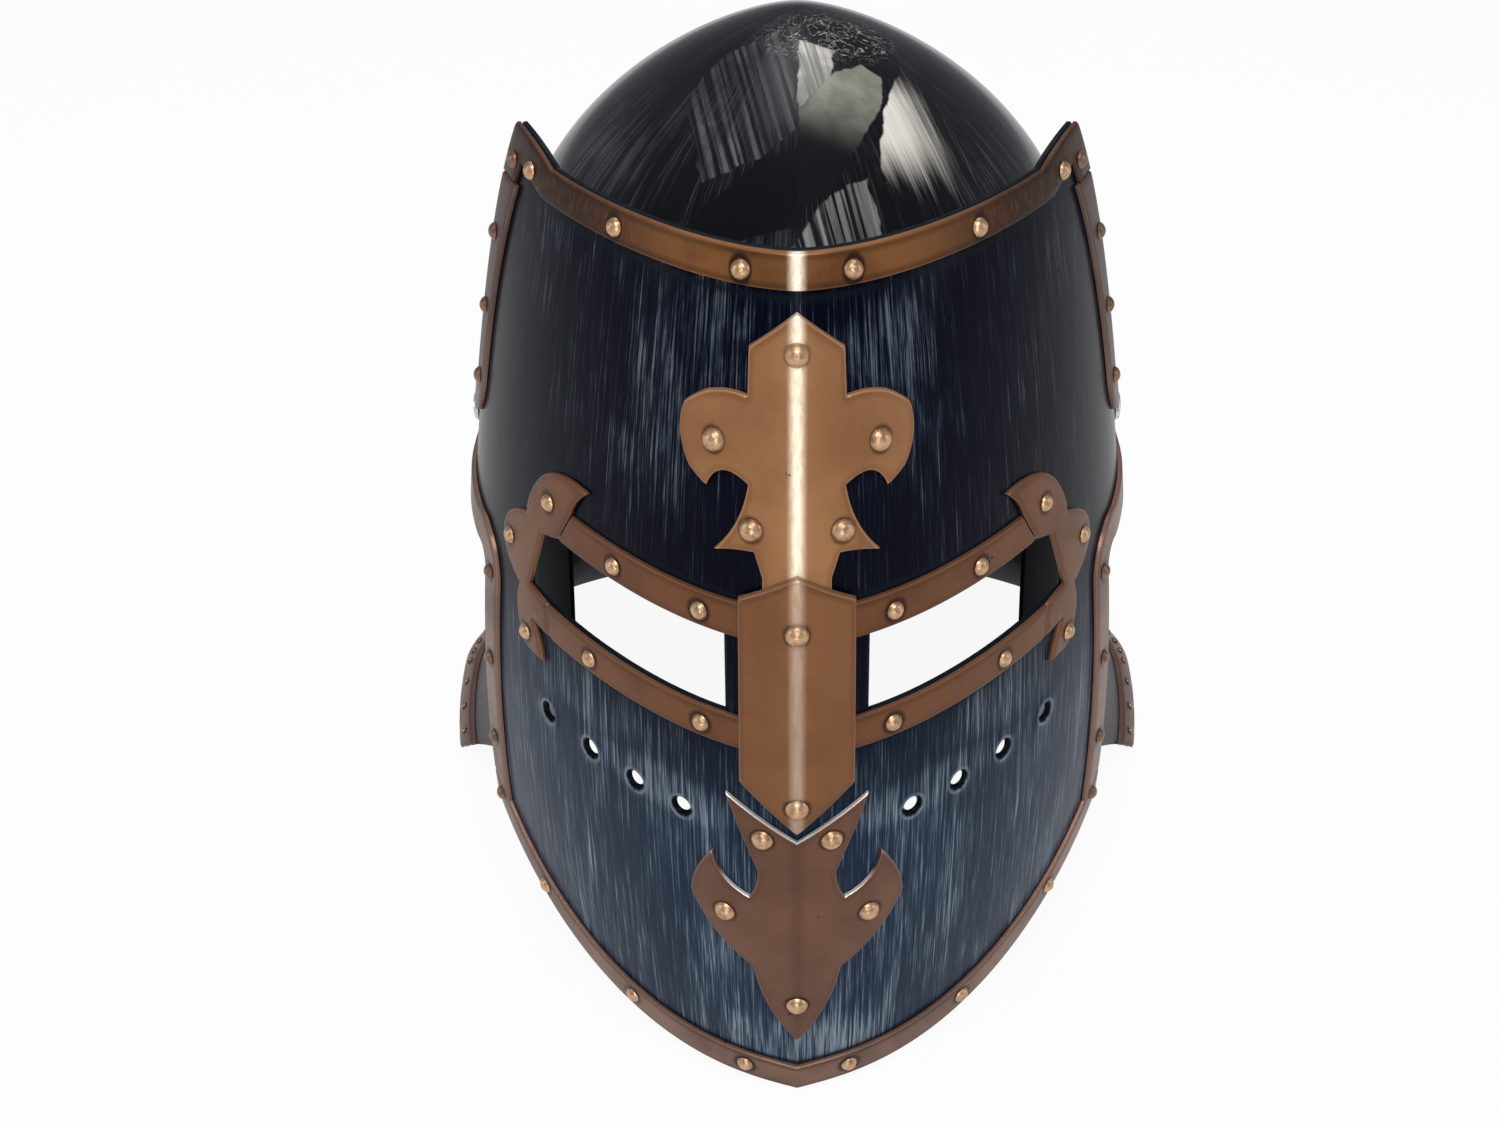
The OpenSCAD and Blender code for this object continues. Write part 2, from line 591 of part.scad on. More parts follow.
module neck_border() {
    color("saddlebrown")
        difference() {
            guard_sheet(1 - border_h / guard_high, 1, 1, guard_t + plate_gap,
                guard_t + plate_gap + border_t, guard_end);
            for (t = stud_t) at(border_frame(t))
                cylinder(h = 3, r = 0.8 + rivet_fit, center = true, $fn = 16);
        }
}
stud_t = [for (i = [0 : stud_count - 1]) (guard_end - 3) * (2 * i / (stud_count - 1) - 1)];
function border_frame(t) = let (s = 1 - border_h / guard_high / 2)
    let (off = guard_t + plate_gap + border_t + 2 * seat)
    [guard_point(t, s, off),
     normal_of(guard_point(t, s, off), guard_point(t + 0.5, s, off), guard_point(t, s + 0.01, off))];

module border_studs() {
    color("peru")
        for (t = stud_t) at(border_frame(t))
            rotate_extrude($fn = 16)
                polygon([[0, stud_r * 0.6], [stud_r * 0.55, stud_r * 0.5], [stud_r * 0.9, stud_r * 0.25],
                    [stud_r, 0], [0.8, 0], [0.8, -0.9], [0, -0.9]]);
}

module neck_rivets() {
    color("dimgray")
        for (side = [left, right], t = neck_rivet_t) at(guard_frame(side * t, neck_rivet_s))
            rivet(small_head_r, small_head_h, neck_grip);
}

module headband() {
    cols = 48;
    rows = 3;
    grid = function(off) [for (r = [0 : rows]) let (z = band_low + headband_h * r / rows)
        [for (c = [0 : cols - 1]) skull_at(-180 + 360 * c / cols, z, off)]];
    outside = -skull_t - 0.4;
    color("sienna")
        difference() {
            ring_sheet(grid(outside), grid(outside - headband_t));
            for (t = liner_rivet_t) at(skull_frame(t, liner_rivet_z)) hole();
        }
}

module liner_rivets() {
    color("dimgray")
        for (t = liner_rivet_t) at(skull_frame(t, liner_rivet_z))
            rivet(small_head_r, small_head_h * 0.6, skull_t + headband_t + 0.4 + 4 * seat);
}

module crown_liner() {
    n = 14;
    rows = 9;
    outside = -skull_t - 0.4 - headband_t - 0.6;
    first = 1;
    half = 150 / tongue_count;
    grid = function(mid, off) [for (r = [first : rows]) let (f = (r - first) / (rows - first))
        [for (c = [-4 : 4]) let (t = mid + half * c / 4 * (1 - 0.15 * f))
            skull_point(t, dome_g(r, n), spring_z + (crown_z + off - spring_z) * dome_s(r, n), 0,
                off * (1 + 0.6 * sin(180 * min(f * 1.2, 1))))]];
    color("sienna")
        for (k = [0 : tongue_count - 1]) let (mid = 360 / tongue_count * (k + 0.5))
            sheet(grid(mid, outside), grid(mid, outside - tongue_t));
}

module pivot_screw(side) {
    color("silver") {
        difference() {
            translate([side * (washer_out + plate_gap / 2), pivot_y, pivot_z])
                rotate([0, side * 90, 0])
                    rotate_extrude($fn = 48)
                        polygon(concat([[0, 0], [screw_head_r, 0]],
                            [for (i = [0 : 5]) let (a = 90 * i / 5)
                                [screw_head_r - 0.9 * screw_head_h * (1 - cos(a)),
                                 screw_head_h * (0.2 + 0.8 * sin(a))]],
                            [[0, screw_head_h]]));
            translate([side * (washer_out + plate_gap / 2 + screw_head_h), pivot_y, pivot_z])
                rotate([30 * side, 0, 0])
                    cube([2 * slot_depth, 3 * screw_head_r, slot_w], center = true);
        }
        pivot_axis(side, nut_out - nut_h - 1, washer_out + plate_gap / 2 + eps)
            circle(screw_r, $fn = 48);
    }
}
module pivot_nut(side) {
    color("silver")
        pivot_axis(side, nut_out - nut_h, nut_out)
            difference() {
                circle(nut_r, $fn = 6);
                circle(screw_r + screw_fit, $fn = 48);
            }
}
module outer_washer(side) {
    color("black")
        pivot_axis(side, washer_in, washer_out)
            difference() {
                circle(washer_r, $fn = 48);
                circle(screw_r + screw_fit, $fn = 48);
            }
}
module spacer(side) {
    color("saddlebrown")
        pivot_axis(side, spacer_in, ear_in - plate_gap)
            difference() {
                circle(washer_r, $fn = 48);
                circle(screw_r + screw_fit, $fn = 48);
            }
}

module face_plate() {
    color("midnightblue")
        difference() {
            union() {
                intersection() {
                    face_layer(-2, horn_top + 3, 14, face_half_angle, -face_t, 0);
                    side_prism() side_outline();
                    front_prism() above_chin(0);
                }
                for (side = [left, right])
                    pivot_axis(side, ear_in, ear_out) circle(ear_seat_r, $fn = 48);
            }
            for (side = [left, right]) {
                pivot_axis(side, ear_out, ear_out + 6) circle(ear_seat_r, $fn = 48);
                pivot_axis(side, ear_in - 5, ear_out + 5) circle(screw_r + screw_fit, $fn = 48);
                translate([0, wide_y - wide / 2, 0]) front_prism() polygon(on_side(side, slot_outline));
                for (k = [0 : 3])
                    at(face_frame(side * (breath_first + k * breath_pitch), breath_z, 0))
                        cylinder(h = 8, r = breath_d / 2, center = true, $fn = 32);
                side_holes(side, side_rivet_yz);
            }
            holes(both(top_rivet_xz));
            holes(both(chin_rivet_xz()));
            holes(both(eye_rivet_xz));
            holes(brow_rivet_xz);
            nasal_holes();
            holes(chin_fleur_rivet_xz);
        }
}

module top_trim() {
    color("peru")
        difference() {
            intersection() {
                face_layer(face_top - 2 * top_trim_w, horn_top + 3, 4, 84, plate_gap, plate_off);
                side_prism() edge_strip(top_trim_w);
                front_prism() translate([-wide / 2, face_top - top_trim_w - 3]) square([wide, wide]);
            }
            holes(both(top_rivet_xz));
            for (side = [left, right]) side_holes(side, side_rivet_yz);
        }
}

module side_trim(side) {
    color("peru")
        difference() {
            intersection() {
                side_layer(side, 20, face_top, 12, 54, face_half_angle, plate_gap, plate_off);
                side_prism() edge_strip(trim_w);
                side_prism() translate([-wide / 2, 0]) square([wide, face_top - top_trim_w - 3 - seam]);
                front_prism() above_chin(trim_w + seam);
            }
            side_holes(side, side_rivet_yz);
        }
}

module chin_trim() {
    color("sienna")
        difference() {
            intersection() {
                face_layer(-2, chin_rise + trim_w + 22, 5, 78, plate_gap, plate_off);
                side_prism() side_outline();
                front_prism() difference() {
                    above_chin(0);
                    above_chin(trim_w);
                }
            }
            holes(both(chin_rivet_xz()));
            for (side = [left, right]) side_holes(side, side_rivet_yz);
        }
}

module brow_fleur() {
    color("peru")
        difference() {
            intersection() {
                face_layer(brow_low - 6, brow_low + brow_h + 2.5, 8, 24, plate_gap, plate_off);
                translate([0, wide_y - wide / 2, 0])
                    front_prism() polygon(concat(brow_fleur_half, mirrored(brow_fleur_half)));
            }
            holes(brow_rivet_xz);
        }
}

module chin_fleur() {
    color("sienna")
        difference() {
            intersection() {
                face_layer(chin_fleur_low - 4, chin_fleur_low + chin_fleur_h + 3.7, 8, 24, plate_gap,
                    plate_off);
                translate([0, wide_y - wide / 2, 0])
                    front_prism() polygon(concat(chin_fleur_half, mirrored(chin_fleur_half)));
            }
            holes(chin_fleur_rivet_xz);
        }
}

module nasal_guard() {
    color("peru")
        difference() {
            intersection() {
                face_layer(slot_low - nasal_below - 5, slot_high + nasal_above + 5, 8, 16, nasal_off,
                    nasal_off + nasal_t);
                translate([0, wide_y - wide / 2, 0])
                    front_prism() polygon(concat(nasal_half, mirrored(nasal_half)));
            }
            nasal_holes();
        }
}

module upper_band(side) {
    color("sienna")
        difference() {
            intersection() {
                side_layer(side, slot_high - 2, slot_high + band_w + 2, 1, 5, 50, plate_gap, plate_off);
                translate([0, wide_y - wide / 2, 0])
                    front_prism() polygon(on_side(side, [[band_start, slot_high],
                        [upper_band_end - seam, slot_high],
                        [upper_band_end - band_slant - seam, slot_high + band_w],
                        [band_start, slot_high + band_w]]));
            }
            holes(on_side(side, eye_rivet_xz));
        }
}

module lower_band(side) {
    color("sienna")
        difference() {
            intersection() {
                side_layer(side, slot_low - band_w - 2, slot_low + 2, 1, 5, 50, plate_gap, plate_off);
                translate([0, wide_y - wide / 2, 0])
                    front_prism() polygon(on_side(side, [[band_start, slot_low - band_w],
                        [lower_band_end - seam, slot_low - band_w], [lower_band_end - seam, slot_low],
                        [band_start, slot_low]]));
            }
            holes(on_side(side, eye_rivet_xz));
        }
}

module eye_fleur(side) {
    color("sienna")
        difference() {
            intersection() {
                side_layer(side, slot_low - 26, slot_high + 23.5, 5, 30, 62, plate_gap, plate_off);
                translate([0, wide_y - wide / 2, 0])
                    front_prism() polygon(on_side(side, eye_fleur_outline));
            }
            holes(on_side(side, eye_rivet_xz));
        }
}

module side_rivets(side) {
    color("peru")
        for (p = side_rivet_yz) at(side_frame(side, p, plate_off + seat))
            rivet(small_head_r, small_head_h, face_grip);
}

skull_shell();
neck_guard();
neck_border();
border_studs();
neck_rivets();
headband();
crown_liner();
liner_rivets();
pivot_screw(left);  // left_pivot_screw
pivot_screw(right);  // right_pivot_screw
pivot_nut(left);  // left_pivot_nut
pivot_nut(right);  // right_pivot_nut
outer_washer(left);  // left_outer_washer
outer_washer(right);  // right_outer_washer
spacer(left);  // left_spacer
spacer(right);  // right_spacer
face_plate();
top_trim();
side_trim(left);  // left_side_trim
side_trim(right);  // right_side_trim
chin_trim();
brow_fleur();
nasal_guard();
chin_fleur();
upper_band(left);  // left_upper_band
upper_band(right);  // right_upper_band
lower_band(left);  // left_lower_band
lower_band(right);  // right_lower_band
eye_fleur(left);  // left_eye_fleur
eye_fleur(right);  // right_eye_fleur
color("peru") small_rivets(both(top_rivet_xz));  // top_trim_rivets
side_rivets(left);  // left_side_rivets
side_rivets(right);  // right_side_rivets
color("sienna") small_rivets(both(chin_rivet_xz()));  // chin_trim_rivets
color("peru") big_rivets(brow_rivet_xz);  // brow_fleur_rivets
nasal_rivets();
color("sienna") big_rivets(chin_fleur_rivet_xz);  // chin_fleur_rivets
color("sienna") small_rivets(on_side(left, eye_rivet_xz));  // left_eye_rivets
color("sienna") small_rivets(on_side(right, eye_rivet_xz));  // right_eye_rivets

module nasal_rivets() {
    color("peru")
        for (p = nasal_rivet_xz) at(nasal_frame(p))
            rivet(big_head_r, big_head_h, nasal_grip + grip_at(p[0]));
}
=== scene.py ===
# %% [markdown]
# # Dressing a visored great helm
# The helm is a steel skull with a keeled face plate that tips up on two side pivots. Copper trims and
# fleur-de-lis plates are riveted to the face plate, and a flared guard covers the neck. The construction
# model already holds every piece at its true size, so this lesson only adds looks: smooth sheet metal in
# place of faceted sheet metal, rubbed paint, copper and leather, a camera and a plain studio.

# %% The fixed frame
import json
import math

import bpy
import numpy as np
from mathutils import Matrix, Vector
from mathutils.geometry import delaunay_2d_cdt


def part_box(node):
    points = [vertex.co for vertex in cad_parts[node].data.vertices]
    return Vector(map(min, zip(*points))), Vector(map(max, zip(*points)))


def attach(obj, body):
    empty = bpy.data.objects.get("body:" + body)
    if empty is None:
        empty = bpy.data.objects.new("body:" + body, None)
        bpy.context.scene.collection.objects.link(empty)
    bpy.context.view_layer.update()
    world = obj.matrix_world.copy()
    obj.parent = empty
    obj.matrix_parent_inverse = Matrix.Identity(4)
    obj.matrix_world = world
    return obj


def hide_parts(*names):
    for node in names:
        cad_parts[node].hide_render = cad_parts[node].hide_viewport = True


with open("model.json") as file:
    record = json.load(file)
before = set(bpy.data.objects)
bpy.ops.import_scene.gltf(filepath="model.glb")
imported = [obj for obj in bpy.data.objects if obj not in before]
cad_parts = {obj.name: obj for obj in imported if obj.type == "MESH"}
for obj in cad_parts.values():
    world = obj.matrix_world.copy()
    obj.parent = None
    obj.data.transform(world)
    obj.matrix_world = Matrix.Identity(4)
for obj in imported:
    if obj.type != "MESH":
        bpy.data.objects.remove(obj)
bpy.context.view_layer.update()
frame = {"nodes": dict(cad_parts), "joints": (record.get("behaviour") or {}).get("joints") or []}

MM = 0.001
pivot_y, pivot_z = (value / MM for value in frame["joints"][0]["pos_m"][1:])
# Along Y: the pivots stand behind the face plate's widest section, and the skull's middle further back.
PIVOT_BACK, SKULL_BACK = 12.0, 24.0
WIDE_Y = pivot_y - PIVOT_BACK
SKULL_Y = WIDE_Y + SKULL_BACK
print("pieces in the frame:", len(frame["nodes"]), "widest section at y =", round(WIDE_Y, 2), "mm")

# %% [markdown]
# ## Camera
# The photograph looks down on the face from the front. A camera fitted to the rivets and the outline
# gave a 48 mm lens, 0.6 m away, tilted 35 degrees down. A small sideways shift puts the ridge right of the
# middle of the picture, where the photograph has it, without turning the camera.

# %% Camera
PICTURE_WIDTH_PX = 1500
RIDGE_PX = 797
CAMERA_TILT = math.radians(35.06)
CAMERA_DISTANCE = 0.59573
AIM_AHEAD, AIM_HEIGHT = 0.060, 0.150
FOCAL_LENGTH, SENSOR_WIDTH = 48, 36
aim = Vector((0, WIDE_Y * MM - AIM_AHEAD, AIM_HEIGHT))

lens = bpy.data.cameras.new("lens")
lens.lens = FOCAL_LENGTH
lens.sensor_width = SENSOR_WIDTH
lens.shift_x = (PICTURE_WIDTH_PX / 2 - RIDGE_PX) / PICTURE_WIDTH_PX
camera = bpy.data.objects.new("camera", lens)
camera.location = aim + CAMERA_DISTANCE * Vector((0, -math.cos(CAMERA_TILT), math.sin(CAMERA_TILT)))
camera.rotation_euler = (math.pi / 2 - CAMERA_TILT, 0, 0)
bpy.context.scene.collection.objects.link(camera)
bpy.context.scene.camera = camera
bpy.context.scene.view_settings.view_transform = "Standard"
print("camera stands at", [round(value, 3) for value in camera.location])

# %% [markdown]
# ## Nodes for materials
# Every finish below is a small graph of nodes on Object coordinates, so a pattern stays where it is when
# the face plate tips up. A few helpers keep the graphs short: stretched noise for brush strokes, masks with
# soft edges, and patches and blobs that say where on the helm a stroke of paint, a rubbed place or a painted
# reflection lies.

# %% Node helpers
# Nearer to the axis than this, in metres, the strokes on a cylinder close up.
NEAR_AXIS = 0.004
# Half the width of a patch's soft edge, in millimetres, and how many waves per metre make it uneven.
PATCH_EDGE, WOBBLE_SCALE = 0.35, 150


class Paint:
    """A material under construction, with its shader and its coordinates."""

    def __init__(self, name):
        self.material = bpy.data.materials.new(name)
        self.material.use_nodes = True
        self.nodes = self.material.node_tree.nodes
        self.links = self.material.node_tree.links
        self.shader = self.nodes["Principled BSDF"]
        self.place = self.nodes.new("ShaderNodeTexCoord").outputs["Object"]

    def plug(self, source, socket):
        """Sets a socket from another node's output, or from a plain value."""
        if isinstance(source, bpy.types.NodeSocket):
            self.links.new(source, socket)
        else:
            socket.default_value = source

    def tint(self, colour, socket):
        """Sets a colour socket from another node's colour, or from red, green and blue."""
        self.plug(colour if isinstance(colour, bpy.types.NodeSocket) else (*colour, 1.0), socket)

    def math(self, operation, a, b=0.0, c=0.0):
        """One step of arithmetic on numbers or on other nodes' outputs."""
        node = self.nodes.new("ShaderNodeMath")
        node.operation = operation
        for socket, value in zip(node.inputs, (a, b, c)):
            self.plug(value, socket)
        return node.outputs[0]

    def total(self, *shares):
        """Sum of value times weight over the pairs given."""
        amount = 0.0
        for value, weight in shares:
            amount = self.math("MULTIPLY_ADD", value, weight, amount)
        return amount

    def times(self, first, *others):
        """The product of the values."""
        for other in others:
            first = self.math("MULTIPLY", first, other)
        return first

    def most(self, first, *others):
        """The largest of the values."""
        for other in others:
            first = self.math("MAXIMUM", first, other)
        return first

    def dot(self, vector, direction):
        """How far a vector reaches along a direction."""
        node = self.nodes.new("ShaderNodeVectorMath")
        node.operation = "DOT_PRODUCT"
        self.links.new(vector, node.inputs[0])
        node.inputs[1].default_value = direction
        return node.outputs["Value"]

    def axes(self, vector):
        """The three coordinates of a vector, each by itself."""
        return [self.dot(vector, axis) for axis in ((1, 0, 0), (0, 1, 0), (0, 0, 1))]

    def vector(self, x, y, z):
        """Three values as one vector."""
        node = self.nodes.new("ShaderNodeCombineXYZ")
        for socket, value in zip(node.inputs, (x, y, z)):
            self.plug(value, socket)
        return node.outputs[0]

    def on_cylinder(self, x, y, up, radius):
        """A place moved level to a cylinder about x = y = 0, where noise that is drawn out upwards makes
        strokes that run straight up, however the surface leans."""
        away = self.math("SQRT", self.math("MULTIPLY_ADD", x, x, self.times(y, y)))
        share = self.math("DIVIDE", radius, self.math("MAXIMUM", away, NEAR_AXIS))
        return self.vector(self.times(x, share), self.times(y, share), up)

    def mapped(self, stretch=(1, 1, 1), turn=(0, 0, 0), where=None):
        """Coordinates turned about the origin and stretched."""
        node = self.nodes.new("ShaderNodeMapping")
        node.inputs["Scale"].default_value = stretch
        node.inputs["Rotation"].default_value = turn
        self.links.new(where or self.place, node.inputs["Vector"])
        return node.outputs[0]

    def noise(self, scale, stretch=(1, 1, 1), detail=4.0, roughness=0.55, where=None, distort=0.0):
        """Noise of scale features per metre, drawn out along an axis by a small stretch."""
        node = self.nodes.new("ShaderNodeTexNoise")
        node.inputs["Scale"].default_value = scale
        node.inputs["Detail"].default_value = detail
        node.inputs["Roughness"].default_value = roughness
        node.inputs["Distortion"].default_value = distort
        self.links.new(self.mapped(stretch, where=where), node.inputs["Vector"])
        return node.outputs["Fac"]

    def mask(self, value, low, high, to_low=0.0, to_high=1.0):
        """to_low below low, to_high above high, and a smooth step between."""
        node = self.nodes.new("ShaderNodeMapRange")
        node.interpolation_type = "SMOOTHSTEP"
        for name, number in (("Value", value), ("From Min", low), ("From Max", high),
                             ("To Min", to_low), ("To Max", to_high)):
            self.plug(number, node.inputs[name])
        return node.outputs["Result"]

    def band(self, value, start, full, still, end, top=1.0):
        """Rises from start to full and falls from still to end, to top at most."""
        return self.times(self.mask(value, start, full), self.mask(value, still, end, top, 0.0))

    def patch(self, place, corners):
        """1 inside a convex patch and 0 outside: the product of a smooth step over each side. Corners are
        (across, up) in millimetres, on the first and third coordinate of place."""
        corners = np.asarray(corners, float) * MM
        following = np.roll(corners, -1, axis=0)
        along = following - corners
        turn = np.sign((corners[:, 0] * following[:, 1] - following[:, 0] * corners[:, 1]).sum())
        inward = turn * np.column_stack([-along[:, 1], along[:, 0]]) / np.linalg.norm(along, axis=1)[:, None]
        inside = 1.0
        for corner, normal in zip(corners, inward):
            depth = self.math("SUBTRACT", self.dot(place, (normal[0], 0, normal[1])), float(corner @ normal))
            inside = self.times(inside, self.mask(depth, -PATCH_EDGE * MM, PATCH_EDGE * MM))
        return inside

    def wobbled(self, place, amount):
        """Coordinates shifted by a noise of up to about that many millimetres, for edges made by hand. The
        noise keeps to the middle half of 0 to 1, so four times the noise less two runs from -1 to 1."""
        node = self.nodes.new("ShaderNodeTexNoise")
        node.inputs["Scale"].default_value = WOBBLE_SCALE
        node.inputs["Detail"].default_value = 4
        self.links.new(place, node.inputs["Vector"])
        shift = self.nodes.new("ShaderNodeVectorMath")
        shift.operation = "MULTIPLY_ADD"
        self.links.new(node.outputs["Color"], shift.inputs[0])
        shift.inputs[1].default_value = [4 * amount * MM] * 3
        shift.inputs[2].default_value = [-2 * amount * MM] * 3
        both = self.nodes.new("ShaderNodeVectorMath")
        self.links.new(place, both.inputs[0])
        self.links.new(shift.outputs[0], both.inputs[1])
        return both.outputs[0]

    def blob(self, place, centre, reach):
        """1 in the middle of an ellipse, fading to 0 at its rim, on the first and third coordinate."""
        across, up = (self.math("MULTIPLY_ADD", self.dot(place, axis), 1 / (size * MM), -middle / size)
                      for axis, middle, size in zip(((1, 0, 0), (0, 0, 1)), centre, reach))
        square = self.math("MULTIPLY_ADD", up, up, self.times(across, across))
        return self.mask(square, 0.1, 1.0, 1.0, 0.0)

    def mix(self, share, first, second):
        """A colour between first and second."""
        node = self.nodes.new("ShaderNodeMix")
        node.data_type = "RGBA"
        self.plug(share, node.inputs[0])
        self.tint(first, node.inputs[6])
        self.tint(second, node.inputs[7])
        return node.outputs[2]

    def attribute(self, name):
        """A value that the mesh keeps at each of its points."""
        node = self.nodes.new("ShaderNodeAttribute")
        node.attribute_name = name
        return node.outputs["Fac"]

    def height(self, value, distance, strength=1.0):
        """Relief of that height in metres, added under the shader's normal."""
        node = self.nodes.new("ShaderNodeBump")
        node.inputs["Distance"].default_value = distance
        node.inputs["Strength"].default_value = strength
        self.links.new(value, node.inputs["Height"])
        self.links.new(node.outputs[0], self.shader.inputs["Normal"])

    def finish(self, colour, metallic, roughness, **fixed):
        """Plugs colour, metal and roughness, and sets what is the same all over on the shader itself."""
        self.tint(colour, self.shader.inputs["Base Color"])
        self.plug(metallic, self.shader.inputs["Metallic"])
        self.plug(roughness, self.shader.inputs["Roughness"])
        for name, value in fixed.items():
            self.shader.inputs[name.replace("_", " ")].default_value = value
        return self.material


# %% [markdown]
# ## Rubbed black steel
# The face plate is painted blue-black and then brushed, so that thin upright strokes of silver show
# through. Noise that is stretched along Z makes the strokes. It is read on an upright cylinder, so a stroke
# stays whole where the plate leans back. A larger noise decides where there are many, and blobs add the
# rubbed places: beside the brow fleur, under the bands, round the holes and at the chin. Where the paint is
# gone the surface is metal, and elsewhere it is a glossy paint, so one amount drives colour and metal.
# Grime and painted shade lie on the steel beside the inner edges of the trims and the bands, painted shade
# darkens the plate's own edges, and each breathing hole has a black rim of painted shade inside a pale ring.

# %% Face plate finish
RUBBED = [((-19, 248), (14, 22)), ((23, 246), (17, 17)), ((-46, 211), (8, 9)), ((-36, 226), (10, 34)),
          ((-64, 128), (26, 14)), ((64, 128), (26, 14)), ((0, 18), (34, 18)), ((-38, 112), (30, 10)),
          ((38, 112), (30, 10))]
FACE_CIRCLE = 0.13
# Tones above and below the slots
FACE_PAINT = (0.0008, 0.0015, 0.0065), (0.010, 0.020, 0.041)
THIN_PAINT = (0.014, 0.020, 0.034), (0.050, 0.075, 0.115)
FACE_SILVER = (0.125, 0.145, 0.165), (0.230, 0.275, 0.320)


def face_steel():
    """Paint in two thicknesses over bare steel, by how hard each place was brushed."""
    paint = Paint("rubbed_face_steel_and_painted_shade")
    x, y, up = paint.axes(paint.place)
    around = paint.on_cylinder(x, y, up, FACE_CIRCLE)
    fine = paint.noise(2600, (1, 1, 0.022), detail=2, roughness=0.6, where=around)
    strokes = paint.noise(1350, (1, 1, 0.016), detail=3, roughness=0.7, where=around)
    broken = paint.noise(300, (1, 1, 0.08), detail=4, roughness=0.65)
    clouds = paint.noise(30, (1, 1, 0.45), detail=4)
    rubbed = paint.most(*(paint.blob(paint.place, *place) for place in RUBBED))
    lower = paint.mask(up, 0.085, 0.165, 1.0, 0.0)
    amount = paint.total((fine, 0.55), (strokes, 0.56), (broken, 0.30), (clouds, 0.32), (rubbed, 0.085),
                         (lower, 0.055))
    thin, bare = paint.mask(amount, 0.86, 1.06), paint.mask(amount, 0.97, 1.16)
    colour = paint.mix(thin, paint.mix(lower, *FACE_PAINT), paint.mix(lower, *THIN_PAINT))
    colour = paint.mix(bare, colour, paint.mix(lower, *FACE_SILVER))
    edge, hole = paint.attribute("edge"), paint.attribute("hole")
    away_from_holes = paint.mask(paint.math("SUBTRACT", hole, edge), 1.5, 3.0)
    # Grime and painted shade on the steel beside the inner edges of the trims and the bands, away from the
    # holes.
    grime_and_shade = paint.times(paint.band(edge, 9.2, 10.4, 10.9, 12.6, 0.8), away_from_holes)
    colour = paint.mix(grime_and_shade, colour, (0.004, 0.006, 0.010))
    # Painted shade on the plate's own edges, and a black rim of painted shade round each breathing hole.
    colour = paint.mix(paint.mask(edge, 0.3, 1.2, 0.9, 0.0), colour, (0.006, 0.008, 0.012))
    colour = paint.mix(paint.mask(hole, 0.9, 1.2, 1.0, 0.0), colour, (0.002, 0.003, 0.004))
    lip = paint.times(paint.band(hole, 1.1, 1.5, 1.6, 2.7), paint.mask(broken, 0.35, 0.6, 0.25, 0.85))
    colour = paint.mix(lip, colour, (0.17, 0.21, 0.25))
    paint.height(paint.total((fine, 0.4), (strokes, 0.6)), 0.00005, 0.4)
    return paint.finish(colour, paint.total((bare, 0.5), (thin, 0.2)),
                        paint.total((thin, 0.10), (strokes, 0.16), (0.22, 1.0)),
                        IOR=1.10, Coat_Weight=0.28, Coat_Roughness=0.14, Coat_IOR=1.14)


# %% [markdown]
# ## Paint on the skull
# The skull is brushed from the crown down, so its strokes follow lines from the crown to the brow. They are
# read on a cylinder too, about the crown, with the height almost left out. In front the paint has been wiped,
# and the patches there are painted reflections of the room as well: one broad band is smooth, grey at its
# upper end and black at its lower end, and the patches beside it keep their strokes in silver. A patch has
# straight sides, so it is drawn by its corners on a plane that leans back with the skull, and a little noise
# on that plane makes its sides uneven. Below the brow, behind the face plate, the skull gets painted shade.

# %% Patches on the skull
SKULL_LEAN = math.radians(35)
SKULL_CIRCLE = 0.09
WIPED_AND_REFLECTED = {
    "left": [(-3.1, 236.7), (-22.3, 227.3), (-26.9, 221.3), (-31.6, 212.2), (-26.2, 186.5), (-10.3, 192.3),
             (-0.6, 201.2), (-0.4, 236)],
    "top": [(0.2, 231.0), (10.6, 228.3), (9.5, 218.8), (0.3, 207.2)],
    "smooth": [(10.8, 220.9), (18.8, 223.6), (24.2, 220.6), (23.0, 209.4), (18.3, 199.8), (8.9, 182.9),
               (0.2, 175.0), (0.2, 206.6)],
    "right": [(25.2, 223.6), (34.0, 234.0), (90.0, 215.0), (60.0, 150.0), (25.4, 184.0), (20.2, 198.0),
              (24.2, 209.4)],
    "low": [(17.2, 194.0), (23.6, 168.0), (4.0, 155.0), (-16.0, 166.5), (-6.0, 173.8), (9.0, 181.8)],
    "chip": [(-50.0, 210.2), (-51.6, 208.6), (-59.8, 194.0), (-57.4, 198.6)],
}
WIPED_AND_REFLECTED_BLACK = [(-0.2, 200.4), (-0.2, 172.0), (-15.4, 168.5), (-39.2, 172.0), (-39.5, 180.6), (-26.2, 185.8),
               (-10.4, 191.6)]


